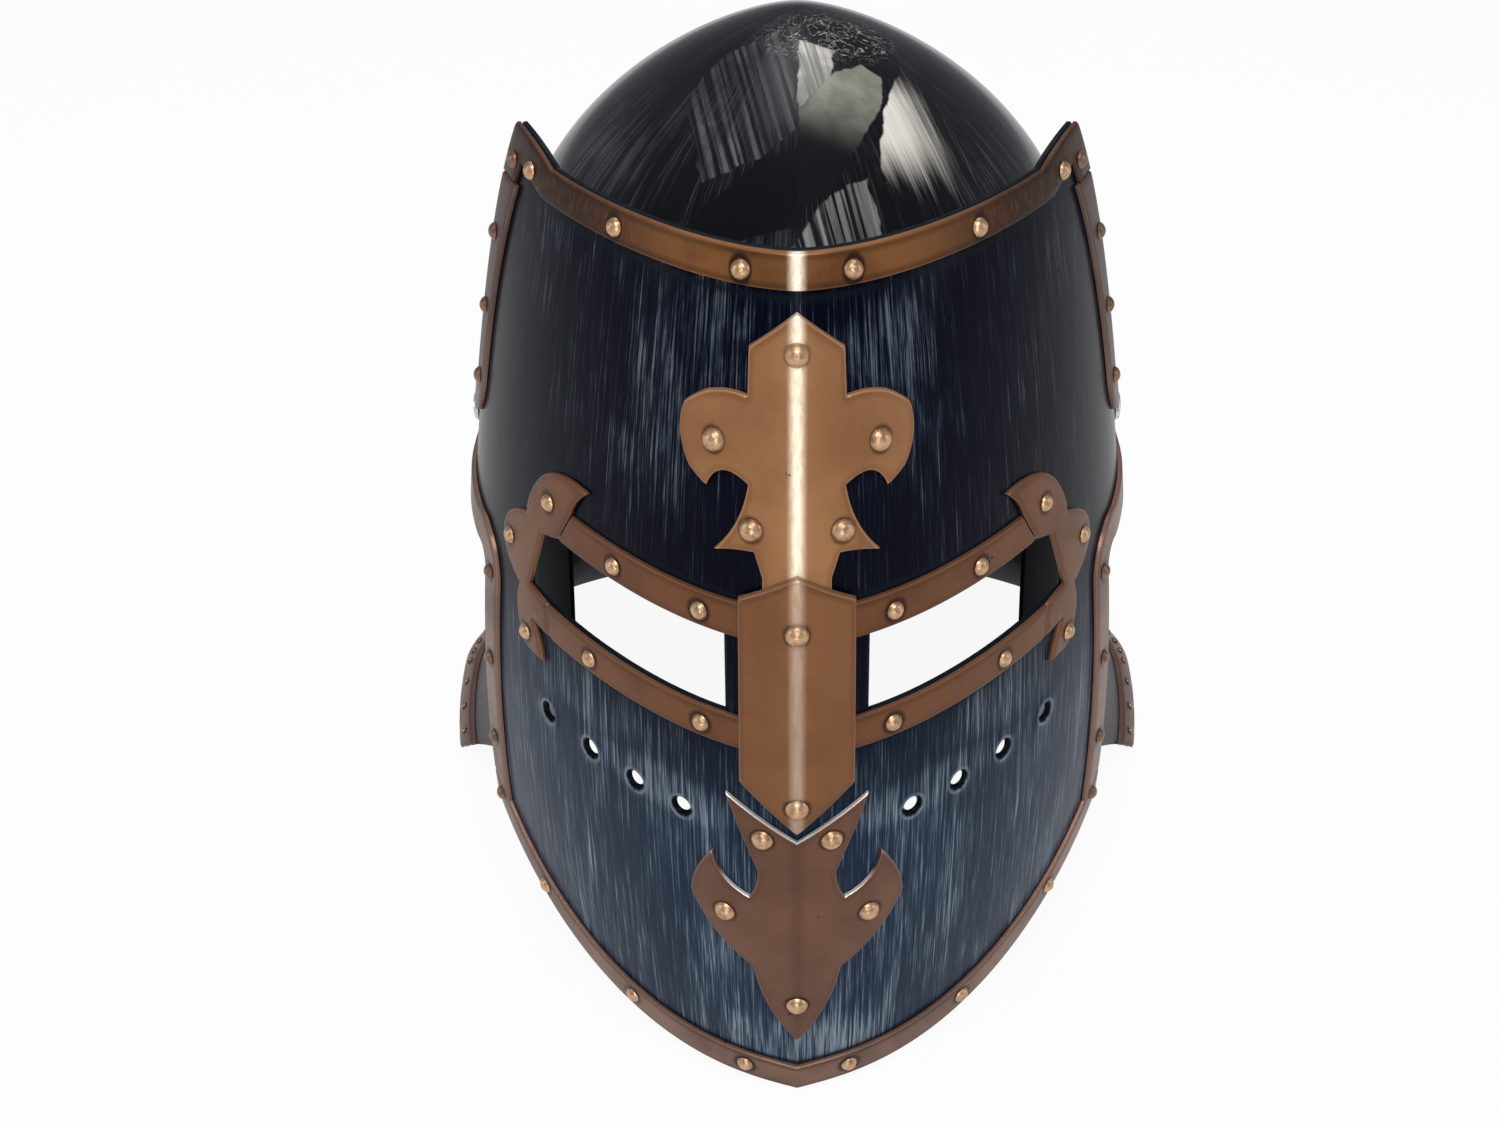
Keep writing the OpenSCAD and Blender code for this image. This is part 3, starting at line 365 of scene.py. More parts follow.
def wiped_and_reflected_tones(paint, plane):
    """For each patch, the share in which its tone covers the paint below, and that tone, which is wiped paint
    and a painted reflection of the room at once.
    """
    across, _, up = paint.axes(plane)

    def brushed(lean, scale):
        """Strokes on the leaning plane that move lean to the right for each step down."""
        slanted = paint.vector(paint.dot(plane, (1, 0, lean)), 0.0, paint.dot(plane, (0, 0, 0.02)))
        return paint.noise(scale, where=slanted, detail=5, roughness=0.6)

    steep, broad = brushed(0.25, 520), brushed(0.22, 130)
    slanting, hair = brushed(0.42, 620), brushed(0.42, 1500)
    uneven = paint.total((paint.noise(60, detail=4, where=plane), 1.0), (across, -4.0))
    cloudy = paint.mask(paint.noise(110, detail=5, where=plane), 0.38, 0.62)
    banded = paint.times(paint.mask(steep, 0.44, 0.60), paint.mask(broad, 0.40, 0.58, 0.25, 1.0))
    top = paint.mix(paint.mask(up, 0.206, 0.230), (0.17, 0.165, 0.14), (0.62, 0.60, 0.54))
    top = paint.mix(paint.mask(steep, 0.46, 0.62, 0.0, 0.75), top, (0.07, 0.07, 0.065))
    lit = paint.mask(paint.dot(plane, (0.35, 0, 0.94)), 0.186, 0.209)
    fade = paint.times(paint.mask(paint.dot(plane, (1, 0, 0.42)), 0.110, 0.136, 1.0, 0.0),
                       paint.mask(up, 0.180, 0.204, 0.10, 1.0), paint.mask(up, 0.213, 0.225, 1.0, 0.35))
    low = paint.times(paint.mask(steep, 0.42, 0.56), paint.mask(broad, 0.3, 0.55, 0.4, 1.0))
    return {
        "left": (paint.mask(uneven, 0.45, 0.72, 1.0, 0.25),
                 paint.mix(banded, (0.005, 0.006, 0.008), (0.125, 0.130, 0.138))),
        "top": (None, paint.mix(paint.times(cloudy, 0.45), top, (0.12, 0.12, 0.11))),
        "smooth": (None, paint.mix(lit, (0.006, 0.007, 0.008),
                                   paint.mix(cloudy, (0.19, 0.185, 0.15), (0.27, 0.265, 0.225)))),
        "right": (paint.mask(paint.total((fade, 1.0), (slanting, 0.8), (hair, 0.9)), 1.00, 1.95),
                  (0.78, 0.74, 0.66)),
        "low": (None, paint.mix(low, (0.006, 0.007, 0.010), (0.27, 0.265, 0.245))),
    }


# %% Skull finish
def skull_steel():
    """Dark brushed paint all over, on the front the wiped patches, which are painted reflections as well, one
    over the other, and painted shade behind the face plate.
    """
    paint = Paint("rubbed_skull_steel_and_painted_light")
    plane = paint.mapped(turn=(SKULL_LEAN, 0, 0))
    x, y, up = paint.axes(paint.place)
    back = paint.math("SUBTRACT", y, SKULL_Y * MM)
    around = paint.on_cylinder(x, back, up, SKULL_CIRCLE)
    fine = paint.noise(1500, (1, 1, 0.05), detail=4, roughness=0.65, where=around)
    strokes = paint.noise(420, (1, 1, 0.06), detail=4, roughness=0.6, where=around)
    amount = paint.total((fine, 0.5), (strokes, 0.45), (paint.noise(24, detail=4), 0.55))
    colour = paint.mix(paint.mask(amount, 0.74, 1.0), (0.0035, 0.0040, 0.0055), (0.060, 0.064, 0.070))

    front = paint.times(paint.mask(back, 0.0, 0.01, 1.0, 0.0),
                        paint.mask(paint.attribute("inside"), 0.2, 0.8, 1.0, 0.0))
    by_hand = paint.wobbled(plane, 0.9)
    # Wiped paint and painted reflections of the room, one patch over the other.
    area = {name: paint.times(front, paint.patch(by_hand, corners)) for name, corners in WIPED_AND_REFLECTED.items()}
    for name, (share, tone) in wiped_and_reflected_tones(paint, plane).items():
        colour = paint.mix(paint.times(area[name], share) if share else area[name], colour, tone)
    # A black patch of wiped paint that is also a painted dark reflection.
    colour = paint.mix(paint.times(front, paint.patch(plane, WIPED_AND_REFLECTED_BLACK)), colour, (0.0035, 0.004, 0.005))

    curl = paint.math("ABSOLUTE", paint.math("SUBTRACT", paint.noise(150, detail=2, distort=2.5), 0.5))
    near_crown = paint.times(paint.mask(curl, 0.006, 0.02, 0.75, 0.0), front,
                             paint.blob(plane, (9, 233), (24, 11)))
    colour = paint.mix(near_crown, colour, (0.42, 0.40, 0.36))
    colour = paint.mix(area["chip"], colour, (0.46, 0.43, 0.33))
    # Painted shade on the skull's front below the brow, behind the face plate, which is also dull there with
    # no coat.
    behind = paint.times(paint.mask(up, 0.170, 0.182, 1.0, 0.0), paint.mask(back, -0.04, -0.01, 1.0, 0.0))
    colour = paint.mix(paint.times(behind, 0.75), colour, (0.004, 0.005, 0.009))
    rough = paint.total((fine, 0.25), (0.14, 1.0))
    rough = paint.total((rough, 1.0), (paint.times(area["smooth"], paint.math("SUBTRACT", 0.16, rough)), 1.0))
    paint.height(paint.total((fine, 0.5), (strokes, 0.5)), 0.00005, 0.4)
    paint.plug(paint.math("MULTIPLY_ADD", behind, -0.4, 0.4), paint.shader.inputs["Coat Weight"])
    return paint.finish(colour, 0.06, paint.most(rough, paint.times(behind, 0.85)), IOR=1.17,
                        Coat_Roughness=0.10, Coat_IOR=1.2)


# %% Finish of the inner faces
def dark_inside():
    """The inner faces of skull, face plate and guard: dull black, with a little rust-brown bloom."""
    paint = Paint("dull_inside")
    bloom = paint.noise(50, detail=5)
    grain = paint.noise(900, detail=4)
    colour = paint.mix(paint.mask(bloom, 0.45, 0.72, 0.0, 0.5), (0.006, 0.007, 0.012), (0.030, 0.022, 0.018))
    colour = paint.mix(paint.mask(grain, 0.5, 0.75, 0.0, 0.3), colour, (0.03, 0.033, 0.04))
    paint.height(grain, 0.00006, 0.5)
    return paint.finish(colour, 0.0, paint.math("MULTIPLY_ADD", bloom, 0.2, 0.7), IOR=1.2)


# %% [markdown]
# ## Copper, grey steel, leather
# The copper is a bronze-brown wash on metal, dull in the flats. Its edges are rubbed brighter, and the crest
# of the keel carries a painted highlight. Beside each rivet it darkens, with tarnish and with painted shade
# where the head sits on the plate. The mesh keeps each point's distance from the outline and from the nearest
# rivet for this. Small dark pits come from the highest peaks of a fine noise. Each group of pieces gets its
# own two tones, partly its own tarnish and partly painted light and shade, and painted shade darkens the top
# trim towards its ends and the side trims towards the horns. On the chin fleur the edges that face up carry a
# painted highlight, and its centre line painted shade.

# %% Copper
GLINT = (0.95, 0.90, 0.84)
RIDGE_HIGHLIGHT = (0.95, 0.80, 0.62)
PIT = (0.02, 0.015, 0.012)


def copper(name, tone, dark, crest=0.0, painted_shade_out=None, painted_shade_up=None, rub=0.35, glint=0.0):
    """tone in the flats, and dark in the tarnish and the painted shade. crest is how strong the painted
    highlight along the centre line is, rub how far the edges are rubbed, and glint how strong a painted
    highlight the edges that face up get, where the centre line then gets painted shade. painted_shade_out and
    painted_shade_up are two millimetre marks, from the centre line and in height, between which painted shade
    turns it dark."""
    paint = Paint(name)
    tarnish = paint.noise(42, detail=5)
    grain = paint.noise(1700, (1, 1, 0.25), detail=3, roughness=0.6)
    brushed = paint.noise(900, (1, 1, 0.04), detail=4, roughness=0.6)
    edge, rivet = paint.attribute("edge"), paint.attribute("rivet")
    x, _, up = paint.axes(paint.place)
    aside = paint.math("ABSOLUTE", x)
    dull = paint.mask(tarnish, 0.36, 0.70, 0.0, 0.55)
    # Painted shade between the two marks, over the tarnish.
    for value, marks in ((aside, painted_shade_out), (up, painted_shade_up)):
        if marks:
            dull = paint.most(dull, paint.mask(value, marks[0] * MM, marks[1] * MM))
    colour = paint.mix(dull, tone, dark)
    colour = paint.mix(paint.mask(brushed, 0.45, 0.75, 0.0, 0.22), colour, tone)
    # Tarnish and painted shade round the seat of each rivet head.
    seat_tarnish_and_shade = paint.times(paint.band(rivet, 2.4, 2.7, 3.2, 4.5), 0.85)
    colour = paint.mix(seat_tarnish_and_shade, colour, tuple(0.3 * value for value in dark))
    colour = paint.mix(paint.band(edge, 0.35, 0.6, 0.9, 2.4, 0.5), colour, dark)
    rubbed = paint.times(paint.mask(edge, 0.12, 0.45, 1.0, 0.0), paint.mask(tarnish, 0.3, 0.6, 0.5 * rub, rub))
    colour = paint.mix(rubbed, colour, tuple(min(0.9, 0.14 + 1.7 * value) for value in tone))
    # A painted highlight along the centre line.
    if crest:
        line = paint.times(paint.mask(aside, 0.0004, 0.0030, crest, 0.0),
                           paint.mask(brushed, 0.3, 0.6, 0.7, 1.0))
        colour = paint.mix(line, colour, RIDGE_HIGHLIGHT)
    # A painted highlight on the edges that face up, and painted shade along the centre line.
    if glint:
        colour = paint.mix(paint.mask(aside, 0.0002, 0.0030, 0.5, 0.0), colour, dark)
        normal = paint.nodes.new("ShaderNodeNewGeometry").outputs["Normal"]
        upward = paint.mask(paint.dot(normal, (0, 0, 1)), 0.45, 0.75, 0.0, glint)
        colour = paint.mix(paint.times(upward, paint.mask(edge, 0.15, 0.7, 1.0, 0.0)), colour, GLINT)
    pits = paint.mask(paint.noise(210, detail=3), 0.735, 0.765)
    colour = paint.mix(pits, colour, PIT)
    paint.height(paint.total((grain, 1.0), (pits, -2.0)), 0.00003, 0.5)
    return paint.finish(colour, 0.5, paint.total((grain, 0.14), (dull, 0.08), (0.30, 1.0)), IOR=1.3)


# %% Grey steel, leather and bare metal
def grey_steel():
    """Dull unpainted steel with dark clouds, spots and a rubbed grain."""
    paint = Paint("grey_steel")
    clouds = paint.noise(60, detail=5)
    grain = paint.noise(1400, (1, 1, 0.1), detail=4)
    spots = paint.mask(paint.noise(260, detail=4), 0.60, 0.72)
    colour = paint.mix(paint.mask(clouds, 0.3, 0.7), (0.020, 0.016, 0.019), (0.048, 0.041, 0.048))
    colour = paint.mix(paint.times(spots, 0.5), colour, (0.03, 0.026, 0.03))
    colour = paint.mix(paint.mask(grain, 0.55, 0.75, 0.0, 0.4), colour, (0.32, 0.32, 0.34))
    paint.height(grain, 0.00005, 0.5)
    return paint.finish(colour, 0.6, paint.math("MULTIPLY_ADD", grain, 0.2, 0.34))


def leather():
    """Brown leather, darker in its creases, with fine round cells in its relief."""
    paint = Paint("tanned_leather")
    light, dark = (0.34, 0.19, 0.10), (0.13, 0.065, 0.035)
    cells = paint.nodes.new("ShaderNodeTexVoronoi")
    cells.inputs["Scale"].default_value = 900
    paint.links.new(paint.place, cells.inputs["Vector"])
    clouds = paint.noise(45, detail=5)
    creases = paint.noise(420, detail=6, roughness=0.65)
    colour = paint.mix(paint.mask(clouds, 0.3, 0.7), dark, light)
    colour = paint.mix(paint.mask(creases, 0.45, 0.7, 0.0, 0.5), colour, dark)
    paint.height(paint.math("ADD", cells.outputs["Distance"], creases), 0.00018, 0.7)
    return paint.finish(colour, 0.0, paint.math("MULTIPLY_ADD", creases, 0.3, 0.45), Specular_IOR_Level=0.4)


def bare_metal(name, colour, roughness, metallic=1.0):
    """Small turned parts: a clean tone with faint spots of tarnish and a fine grain."""
    paint = Paint(name)
    spots = paint.noise(520, detail=4)
    tone = paint.mix(paint.mask(spots, 0.40, 0.72), colour, tuple(0.55 * value for value in colour))
    paint.height(paint.noise(2600, detail=3), 0.00001, 0.4)
    return paint.finish(tone, metallic, paint.math("MULTIPLY_ADD", spots, 0.14, roughness))


# %% All finishes
# Each copper group's two tones are partly its own tarnish and partly painted light and shade.
finishes = {
    "face": face_steel(), "skull": skull_steel(), "grey": grey_steel(), "leather": leather(),
    "inside": dark_inside(),
    "top_copper": copper("top_trim_copper", (0.26, 0.105, 0.032), (0.024, 0.008, 0.004), crest=0.9,
                         painted_shade_out=(6, 62), rub=0.12),
    "brow_copper": copper("brow_copper", (0.34, 0.165, 0.070), (0.20, 0.080, 0.034), crest=0.85),
    "nasal_copper": copper("nasal_copper", (0.215, 0.093, 0.038), (0.135, 0.052, 0.022), crest=0.30),
    "band_copper": copper("band_copper", (0.155, 0.062, 0.026), (0.080, 0.029, 0.014), rub=0.2),
    "chin_copper": copper("chin_copper", (0.150, 0.072, 0.043), (0.090, 0.038, 0.024), rub=0.25, glint=0.9),
    "side_copper": copper("side_copper", (0.190, 0.100, 0.068), (0.050, 0.024, 0.017), rub=0.25,
                          painted_shade_up=(150, 215)),
    "brown": copper("brown_border", (0.110, 0.048, 0.032), (0.045, 0.020, 0.016)),
    "rivet": bare_metal("copper_rivet", (0.58, 0.36, 0.21), 0.30, 0.85),
    "side_rivet": bare_metal("side_rivet", (0.24, 0.14, 0.095), 0.30, 0.8),
    "stud": bare_metal("border_stud", (0.30, 0.17, 0.12), 0.22, 0.7),
    "silver": bare_metal("polished_steel", (0.62, 0.62, 0.64), 0.16),
    "black": bare_metal("black_steel", (0.02, 0.02, 0.024), 0.2, 0.5),
}
print("finishes:", ", ".join(sorted(finishes)))

# %% [markdown]
# ## One surface under everything
# A smith bends one plate and then fits every trim to it. The same holds here: one formula gives the face
# plate's surface, and every plate is laid on it at its own height. Across, a level section is an ellipse
# drawn in to a soft point. Upwards, its half width and its depth each follow a cubic through four levels.

# %% The face surface
FACE_HALF_WIDTHS = (105.0, 107.5, 95.5, 79.5)
FACE_DEPTHS = (130.0, 135.5, 124.0, 82.0)
LEVEL_STEP = 100.0
KEEL, CREASE, RIDGE_ROUND, EAR_CLOSE = 0.30, 0.08, 0.37, 0.35


def through_levels(z, values):
    """Cubic through four values that stand LEVEL_STEP apart in height."""
    s = z / LEVEL_STEP
    a, b, c, d = values
    return (-a * (s - 1) * (s - 2) * (s - 3) + 3 * b * s * (s - 2) * (s - 3)
            - 3 * c * s * (s - 1) * (s - 3) + d * s * (s - 1) * (s - 2)) / 6


def softened(s):
    """A straight line from 0 to 1 that starts as a round bottom."""
    full = math.hypot(1, RIDGE_ROUND) - RIDGE_ROUND
    return (np.sqrt(s * s + RIDGE_ROUND ** 2) - RIDGE_ROUND) / full


def plan_depth(t):
    """Depth of the plan at angle t, from 1 at the ridge: ellipse, soft point and crease, added up."""
    t = np.radians(t)
    s = np.abs(np.sin(t))
    return (1 - KEEL - CREASE) * np.cos(t) + KEEL * (1 - softened(s)) + CREASE * (1 - s)


def plan_width(t):
    """Half width of the plan at angle t: the sine, closing slowly behind the widest place."""
    sine = np.sin(np.radians(t))
    behind = np.sign(t) * (1 - EAR_CLOSE * (1 - np.abs(sine)))
    return np.where(np.abs(t) <= 90, sine, behind)


def face_point(t, z, proud):
    """Points of the face surface, in millimetres, at angle t and height z, moved outwards by proud."""
    x = (through_levels(z, FACE_HALF_WIDTHS) + proud) * plan_width(t)
    y = WIDE_Y - (through_levels(z, FACE_DEPTHS) + proud) * plan_depth(t)
    return np.stack([x, y, z + 0 * x], axis=-1)


# %% [markdown]
# ## Cutting sheet metal by its outline
# Each plate is a flat shape first. Its outline is drawn as the photograph shows it, in front or side view,
# and carried over to the unrolled surface: u runs along the plan and z runs up. There the shape is filled
# with triangles, and only then bent. An outline that is cut before bending stays crisp, where a boolean cut
# through a bent plate would leave ragged edges.

# %% The unrolled surface
ANGLES = np.linspace(-126, 126, 4001)
UNROLL_Z = 150.0
level_plan = face_point(ANGLES, np.full(ANGLES.shape, UNROLL_Z), 0.0)
ARC = np.concatenate([[0], np.cumsum(np.linalg.norm(np.diff(level_plan, axis=0), axis=1))])
ARC -= ARC[len(ARC) // 2]


def bend(flat, proud):
    """Carries unrolled points (u, z) to the face surface."""
    return face_point(np.interp(flat[:, 0], ARC, ANGLES), flat[:, 1], proud)


def dense(points, step=1.2, closed=True):
    """The same outline with a point about every step millimetres, its corners kept."""
    start = np.asarray(points, float)
    end = np.roll(start, -1, axis=0) if closed else start[1:]
    start = start if closed else start[:-1]
    count = np.maximum(1, np.ceil(np.linalg.norm(end - start, axis=1) / step)).astype(int)
    which = np.repeat(np.arange(len(count)), count)
    first = np.concatenate([[0], np.cumsum(count)[:-1]])
    share = (np.arange(count.sum()) - first[which]) / count[which]
    fine = start[which] + share[:, None] * (end - start)[which]
    return fine if closed else np.vstack([fine, end[-1:]])


def from_front(points, proud=0.0):
    """Outline points (x, z) in front view, carried to the unrolled surface of a layer that stands proud."""
    points = np.asarray(points, float)
    half_width = through_levels(points[:, 1], FACE_HALF_WIDTHS) + proud
    t = np.degrees(np.arcsin(np.clip(points[:, 0] / half_width, -1, 1)))
    return np.column_stack([np.interp(t, ANGLES, ARC), points[:, 1]])


def from_side(points, proud=0.0):
    """Outline points (distance ahead of the widest section, z) of the right side, found by halving."""
    points = np.asarray(points, float)
    low, high = np.zeros(len(points)), np.full(len(points), 125.0)
    for _ in range(30):
        middle = (low + high) / 2
        ahead = (through_levels(points[:, 1], FACE_DEPTHS) + proud) * plan_depth(middle) > points[:, 0]
        low, high = np.where(ahead, middle, low), np.where(ahead, high, middle)
    return np.column_stack([np.interp(low, ANGLES, ARC), points[:, 1]])


def bow(p, q, bulge, count=8):
    """Points on a shallow arc from p to just before q that bulges to the left by bulge."""
    p, q = np.asarray(p, float), np.asarray(q, float)
    s = np.arange(count)[:, None] / count
    left = np.array([-(q - p)[1], (q - p)[0]]) / np.linalg.norm(q - p)
    return p + s * (q - p) + left * 4 * bulge * s * (1 - s)


def mirrored(half):
    """A half outline that starts on the centre line, completed by its mirror image."""
    half = np.vstack(half)
    return np.vstack([half, (half * [-1, 1])[::-1]])


# %% Filling an outline with triangles
def edge_distance(points, loops):
    """Distance from each point to the nearest piece of outline, a slice of the points at a time."""
    start = np.vstack(loops)
    along = np.vstack([np.roll(loop, -1, axis=0) for loop in loops]) - start
    square = np.maximum((along ** 2).sum(1), 1e-12)
    found = []
    for part in np.array_split(points, max(1, len(points) // 1500)):
        gap = part[:, None, :] - start
        share = np.clip((gap * along).sum(2) / square, 0, 1)
        found.append(np.linalg.norm(gap - share[..., None] * along, axis=2).min(1))
    return np.concatenate(found)


def is_inside(points, loops):
    """Whether a line from each point to the left crosses the outlines an odd number of times."""
    a = np.vstack(loops)
    b = np.vstack([np.roll(loop, -1, axis=0) for loop in loops])
    found = []
    for part in np.array_split(points, max(1, len(points) // 1500)):
        x, z = part[:, :1], part[:, 1:]
        spans = (a[:, 1] > z) != (b[:, 1] > z)
        slope = (b[:, 0] - a[:, 0]) / np.where(b[:, 1] == a[:, 1], 1e-12, b[:, 1] - a[:, 1])
        found.append((spans & (x > a[:, 0] + (z - a[:, 1]) * slope)).sum(1) % 2 == 1)
    return np.concatenate(found)


def inset_points(loops, depth):
    """Points at one depth inside the outlines: each outline point moved along its normal both ways, kept if
    it lands inside and no nearer to any outline than that depth."""
    tries = []
    for loop in loops:
        along = np.roll(loop, -1, axis=0) - np.roll(loop, 1, axis=0)
        normal = np.column_stack([-along[:, 1], along[:, 0]])
        normal /= np.maximum(np.linalg.norm(normal, axis=1, keepdims=True), 1e-9)
        tries += [loop + depth * normal, loop - depth * normal]
    tries = np.vstack(tries)
    tries = tries[is_inside(tries, loops)]
    return tries[edge_distance(tries, loops) > 0.96 * depth]


def fill(loops, spacing, depths):
    """Triangles inside the outlines, with rows of points at some depths along the edge and a honeycomb of
    points in the middle. Returns the points, the triangles and each point's distance to the edge."""
    rim = np.vstack(loops)
    low, high = rim.min(0), rim.max(0)
    rows = np.arange(low[1], high[1], spacing * 0.866)
    columns = np.arange(low[0], high[0], spacing)
    u, z = np.meshgrid(columns, rows)
    u = u + (np.arange(len(rows))[:, None] % 2) * spacing / 2
    comb = np.column_stack([u.ravel(), z.ravel()])
    comb = comb[is_inside(comb, loops)]
    comb = comb[edge_distance(comb, loops) > max(depths) + 0.5 * spacing]
    points = np.vstack([rim] + [inset_points(loops, depth) for depth in depths] + [comb])
    sizes = [len(loop) for loop in loops]
    first = np.repeat(np.cumsum([0] + sizes[:-1]), sizes)
    here = np.arange(len(rim))
    after = first + (here - first + 1) % np.repeat(sizes, sizes)
    made = delaunay_2d_cdt(points.tolist(), np.column_stack([here, after]).tolist(), [], 0, 1e-5)
    points, triangles = np.array([tuple(v) for v in made[0]]), np.array(made[2])
    triangles = triangles[is_inside(points[triangles].mean(1), loops)]
    return points, triangles, edge_distance(points, loops)


# %% [markdown]
# ## From a flat mesh to a sheet with thickness
# A sheet has an outer face, an inner face and a wall round every open edge. The outer face drops away
# towards the edge along a quarter circle, so each plate catches light on its edge as filed metal does.
# Sharp edges are marked by angle, and everything else is shaded smooth.

# %% Sheets
SHARP_ANGLE = math.radians(38)
BREATH_RADIUS, FAR_OFF = 2.3, 99.0


def new_piece(name, points_mm, triangles, body, finish, replaced, marks=None, inner=None):
    """A finished piece from points in millimetres and triangles, riding on its body. Where inner is given, it
    is the range of the triangles that get the dull inside finish."""
    mesh = bpy.data.meshes.new(name)
    mesh.from_pydata((points_mm * MM).tolist(), [], triangles.tolist())
    for mark, values in (marks or {}).items():
        mesh.attributes.new(mark, "FLOAT", "POINT").data.foreach_set("value", values.astype(np.float32))
    mesh.shade_smooth()
    mesh.set_sharp_from_angle(angle=SHARP_ANGLE)
    mesh.materials.append(finishes[finish])
    if inner:
        mesh.materials.append(finishes["inside"])
        number = np.arange(len(triangles))
        is_inner = (number >= inner[0]) & (number < inner[1])
        mesh.polygons.foreach_set("material_index", is_inner.astype(np.int32))
    piece = bpy.data.objects.new(name, mesh)
    bpy.context.scene.collection.objects.link(piece)
    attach(piece, body)
    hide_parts(*replaced)
    print(f"{name}: {len(points_mm)} points, {len(triangles)} triangles")


def rim_of(triangles):
    """Edges that only one triangle has, in that triangle's direction."""
    edges = np.vstack([triangles[:, [0, 1]], triangles[:, [1, 2]], triangles[:, [2, 0]]])
    code = np.sort(edges, axis=1) @ np.array([triangles.max() + 1, 1])
    _, where, count = np.unique(code, return_index=True, return_counts=True)
    return edges[where[count == 1]]


def closed_sheet(outer, inner, triangles):
    """Points and triangles of the two faces and the walls between their rims."""
    shift = len(outer)
    rim = rim_of(triangles)
    a, b = rim[:, 0], rim[:, 1]
    walls = np.vstack([np.column_stack([b, a, a + shift]), np.column_stack([b, a + shift, b + shift])])
    return np.vstack([outer, inner]), np.vstack([triangles, triangles[:, ::-1] + shift, walls])


def rounded_drop(distance, radius):
    """How far a quarter-round edge lies under the full height, at a distance from the edge."""
    depth = np.clip(radius - distance, 0, radius)
    return radius - np.sqrt(radius ** 2 - depth ** 2)


def nearest(flat, centres):
    """Distance of each unrolled point from the nearest centre, or FAR_OFF on a plate that has none."""
    if centres is None:
        return np.full(len(flat), FAR_OFF)
    return np.linalg.norm(flat[:, None, :] - np.asarray(centres), axis=2).min(1)


def plate(name, loops, low, high, finish, replaced, spacing=2.6, radius=0.6, slot="copper", relief=None,
          rivets=None, holes=None):
    """A bent plate from its unrolled outlines, between two heights over the face surface. Rows of points
    follow the edge: close together in its round, and further in too where the plate has relief."""
    depths = [radius * 0.12, radius * 0.45, radius] if relief is None else [radius * 0.3, radius, 1.6, 2.6]
    flat, triangles, distance = fill(loops, spacing, depths)
    top = high - rounded_drop(distance, radius)
    if relief is not None:
        top = top + relief(flat)
    count = len(triangles)
    points, triangles = closed_sheet(bend(flat, top), bend(flat, low), triangles)
    marks = {"edge": distance, "rivet": nearest(flat, rivets), "hole": nearest(flat, holes) - BREATH_RADIUS}
    marks = {mark: np.tile(values, 2) for mark, values in marks.items()}
    new_piece(name, points, triangles, "visor", finish, replaced, marks,
              (count, 2 * count) if finish == "face" else None)


# %% [markdown]
# ## The side outline
# Seen from the side, the face plate has a straight cheek edge, a round ear for the pivot, and a horn at the
# end of the top edge. A file cannot cut a sharp inner corner, so both corners at the ear have a round of
# 6 mm. Distances are measured ahead of the widest section. The ear's straight edges touch its circle.

# %% Outline in side view
EAR_RADIUS, CORNER = 18.0, 6.0
EAR_ROOT, EAR_DROP, EAR_RISE, TEMPLE_RISE = 10.0, 22.0, 28.0, 30.0
CHEEK, TEMPLE, HORN, HORN_ROOT = 40.0, 14.0, 29.0, 50.0
FACE_TOP, HORN_TOP = 271.0, 276.0
CHIN_RISE, CHIN_POWER, CHIN_POINT, CHIN_POINT_RUN = 41.0, 3.2, 2.4, 22.0
EAR = np.array([-PIVOT_BACK, pivot_z])


def chin_height(x):
    """Height of the chin edge in front view: a power curve, with a low point on the centre line."""
    run = np.abs(x) / CHIN_POINT_RUN
    return CHIN_RISE * np.power(np.abs(x) / LEVEL_STEP, CHIN_POWER) + CHIN_POINT * run * np.exp(1 - run)


def arc(centre, radius, start, stop, count):
    """Points on a circle from one angle to another, in degrees."""
    angle = np.radians(np.linspace(start, stop, count))
    return np.column_stack([centre[0] + radius * np.cos(angle), centre[1] + radius * np.sin(angle)])


def touch(point, centre, radius, side):
    """Angle, in degrees about the centre, at which a line from the point touches the circle."""
    away = np.asarray(point, float) - centre
    return math.degrees(math.atan2(away[1], away[0]) + side * math.acos(radius / np.hypot(*away)))


def side_path():
    """Right edge from the chin up round the ear to the horn, and on along the top edge."""
    ear_low, ear_high = (CHEEK - EAR_ROOT, pivot_z - EAR_DROP), (CHEEK - EAR_ROOT, pivot_z + EAR_RISE)
    first, last = touch(ear_low, EAR, EAR_RADIUS, -1), touch(ear_high, EAR, EAR_RADIUS, 1)
    drop = math.sqrt(CORNER ** 2 - (CHEEK - CORNER - ear_low[0] - 2) ** 2)
    low_round = arc((CHEEK - CORNER, ear_low[1] - drop), CORNER, 0, 109.5, 9)
    ear = arc(EAR, EAR_RADIUS, first, last - 360, 40)
    slope = (ear_high[1] - ear[-1, 1]) / (ear_high[0] - ear[-1, 0])
    rise = ear_high[1] - slope * (ear_high[0] - TEMPLE + CORNER) + CORNER * math.hypot(1, slope)
    high_round = arc((TEMPLE - CORNER, rise), CORNER, math.degrees(math.atan(slope)) - 90, 0, 8)
    temple = bow((TEMPLE, pivot_z + TEMPLE_RISE), (HORN, HORN_TOP), 3.5, 24)
    horn = bow((HORN, HORN_TOP), (HORN_ROOT, FACE_TOP), 1.2, 8)
    return dense(np.vstack([[(CHEEK, 25.0)], low_round, [ear_low], ear, high_round, temple, horn,
                            [(HORN_ROOT, FACE_TOP), (140.0, FACE_TOP)]]), 1.0, closed=False)


SIDE = side_path()


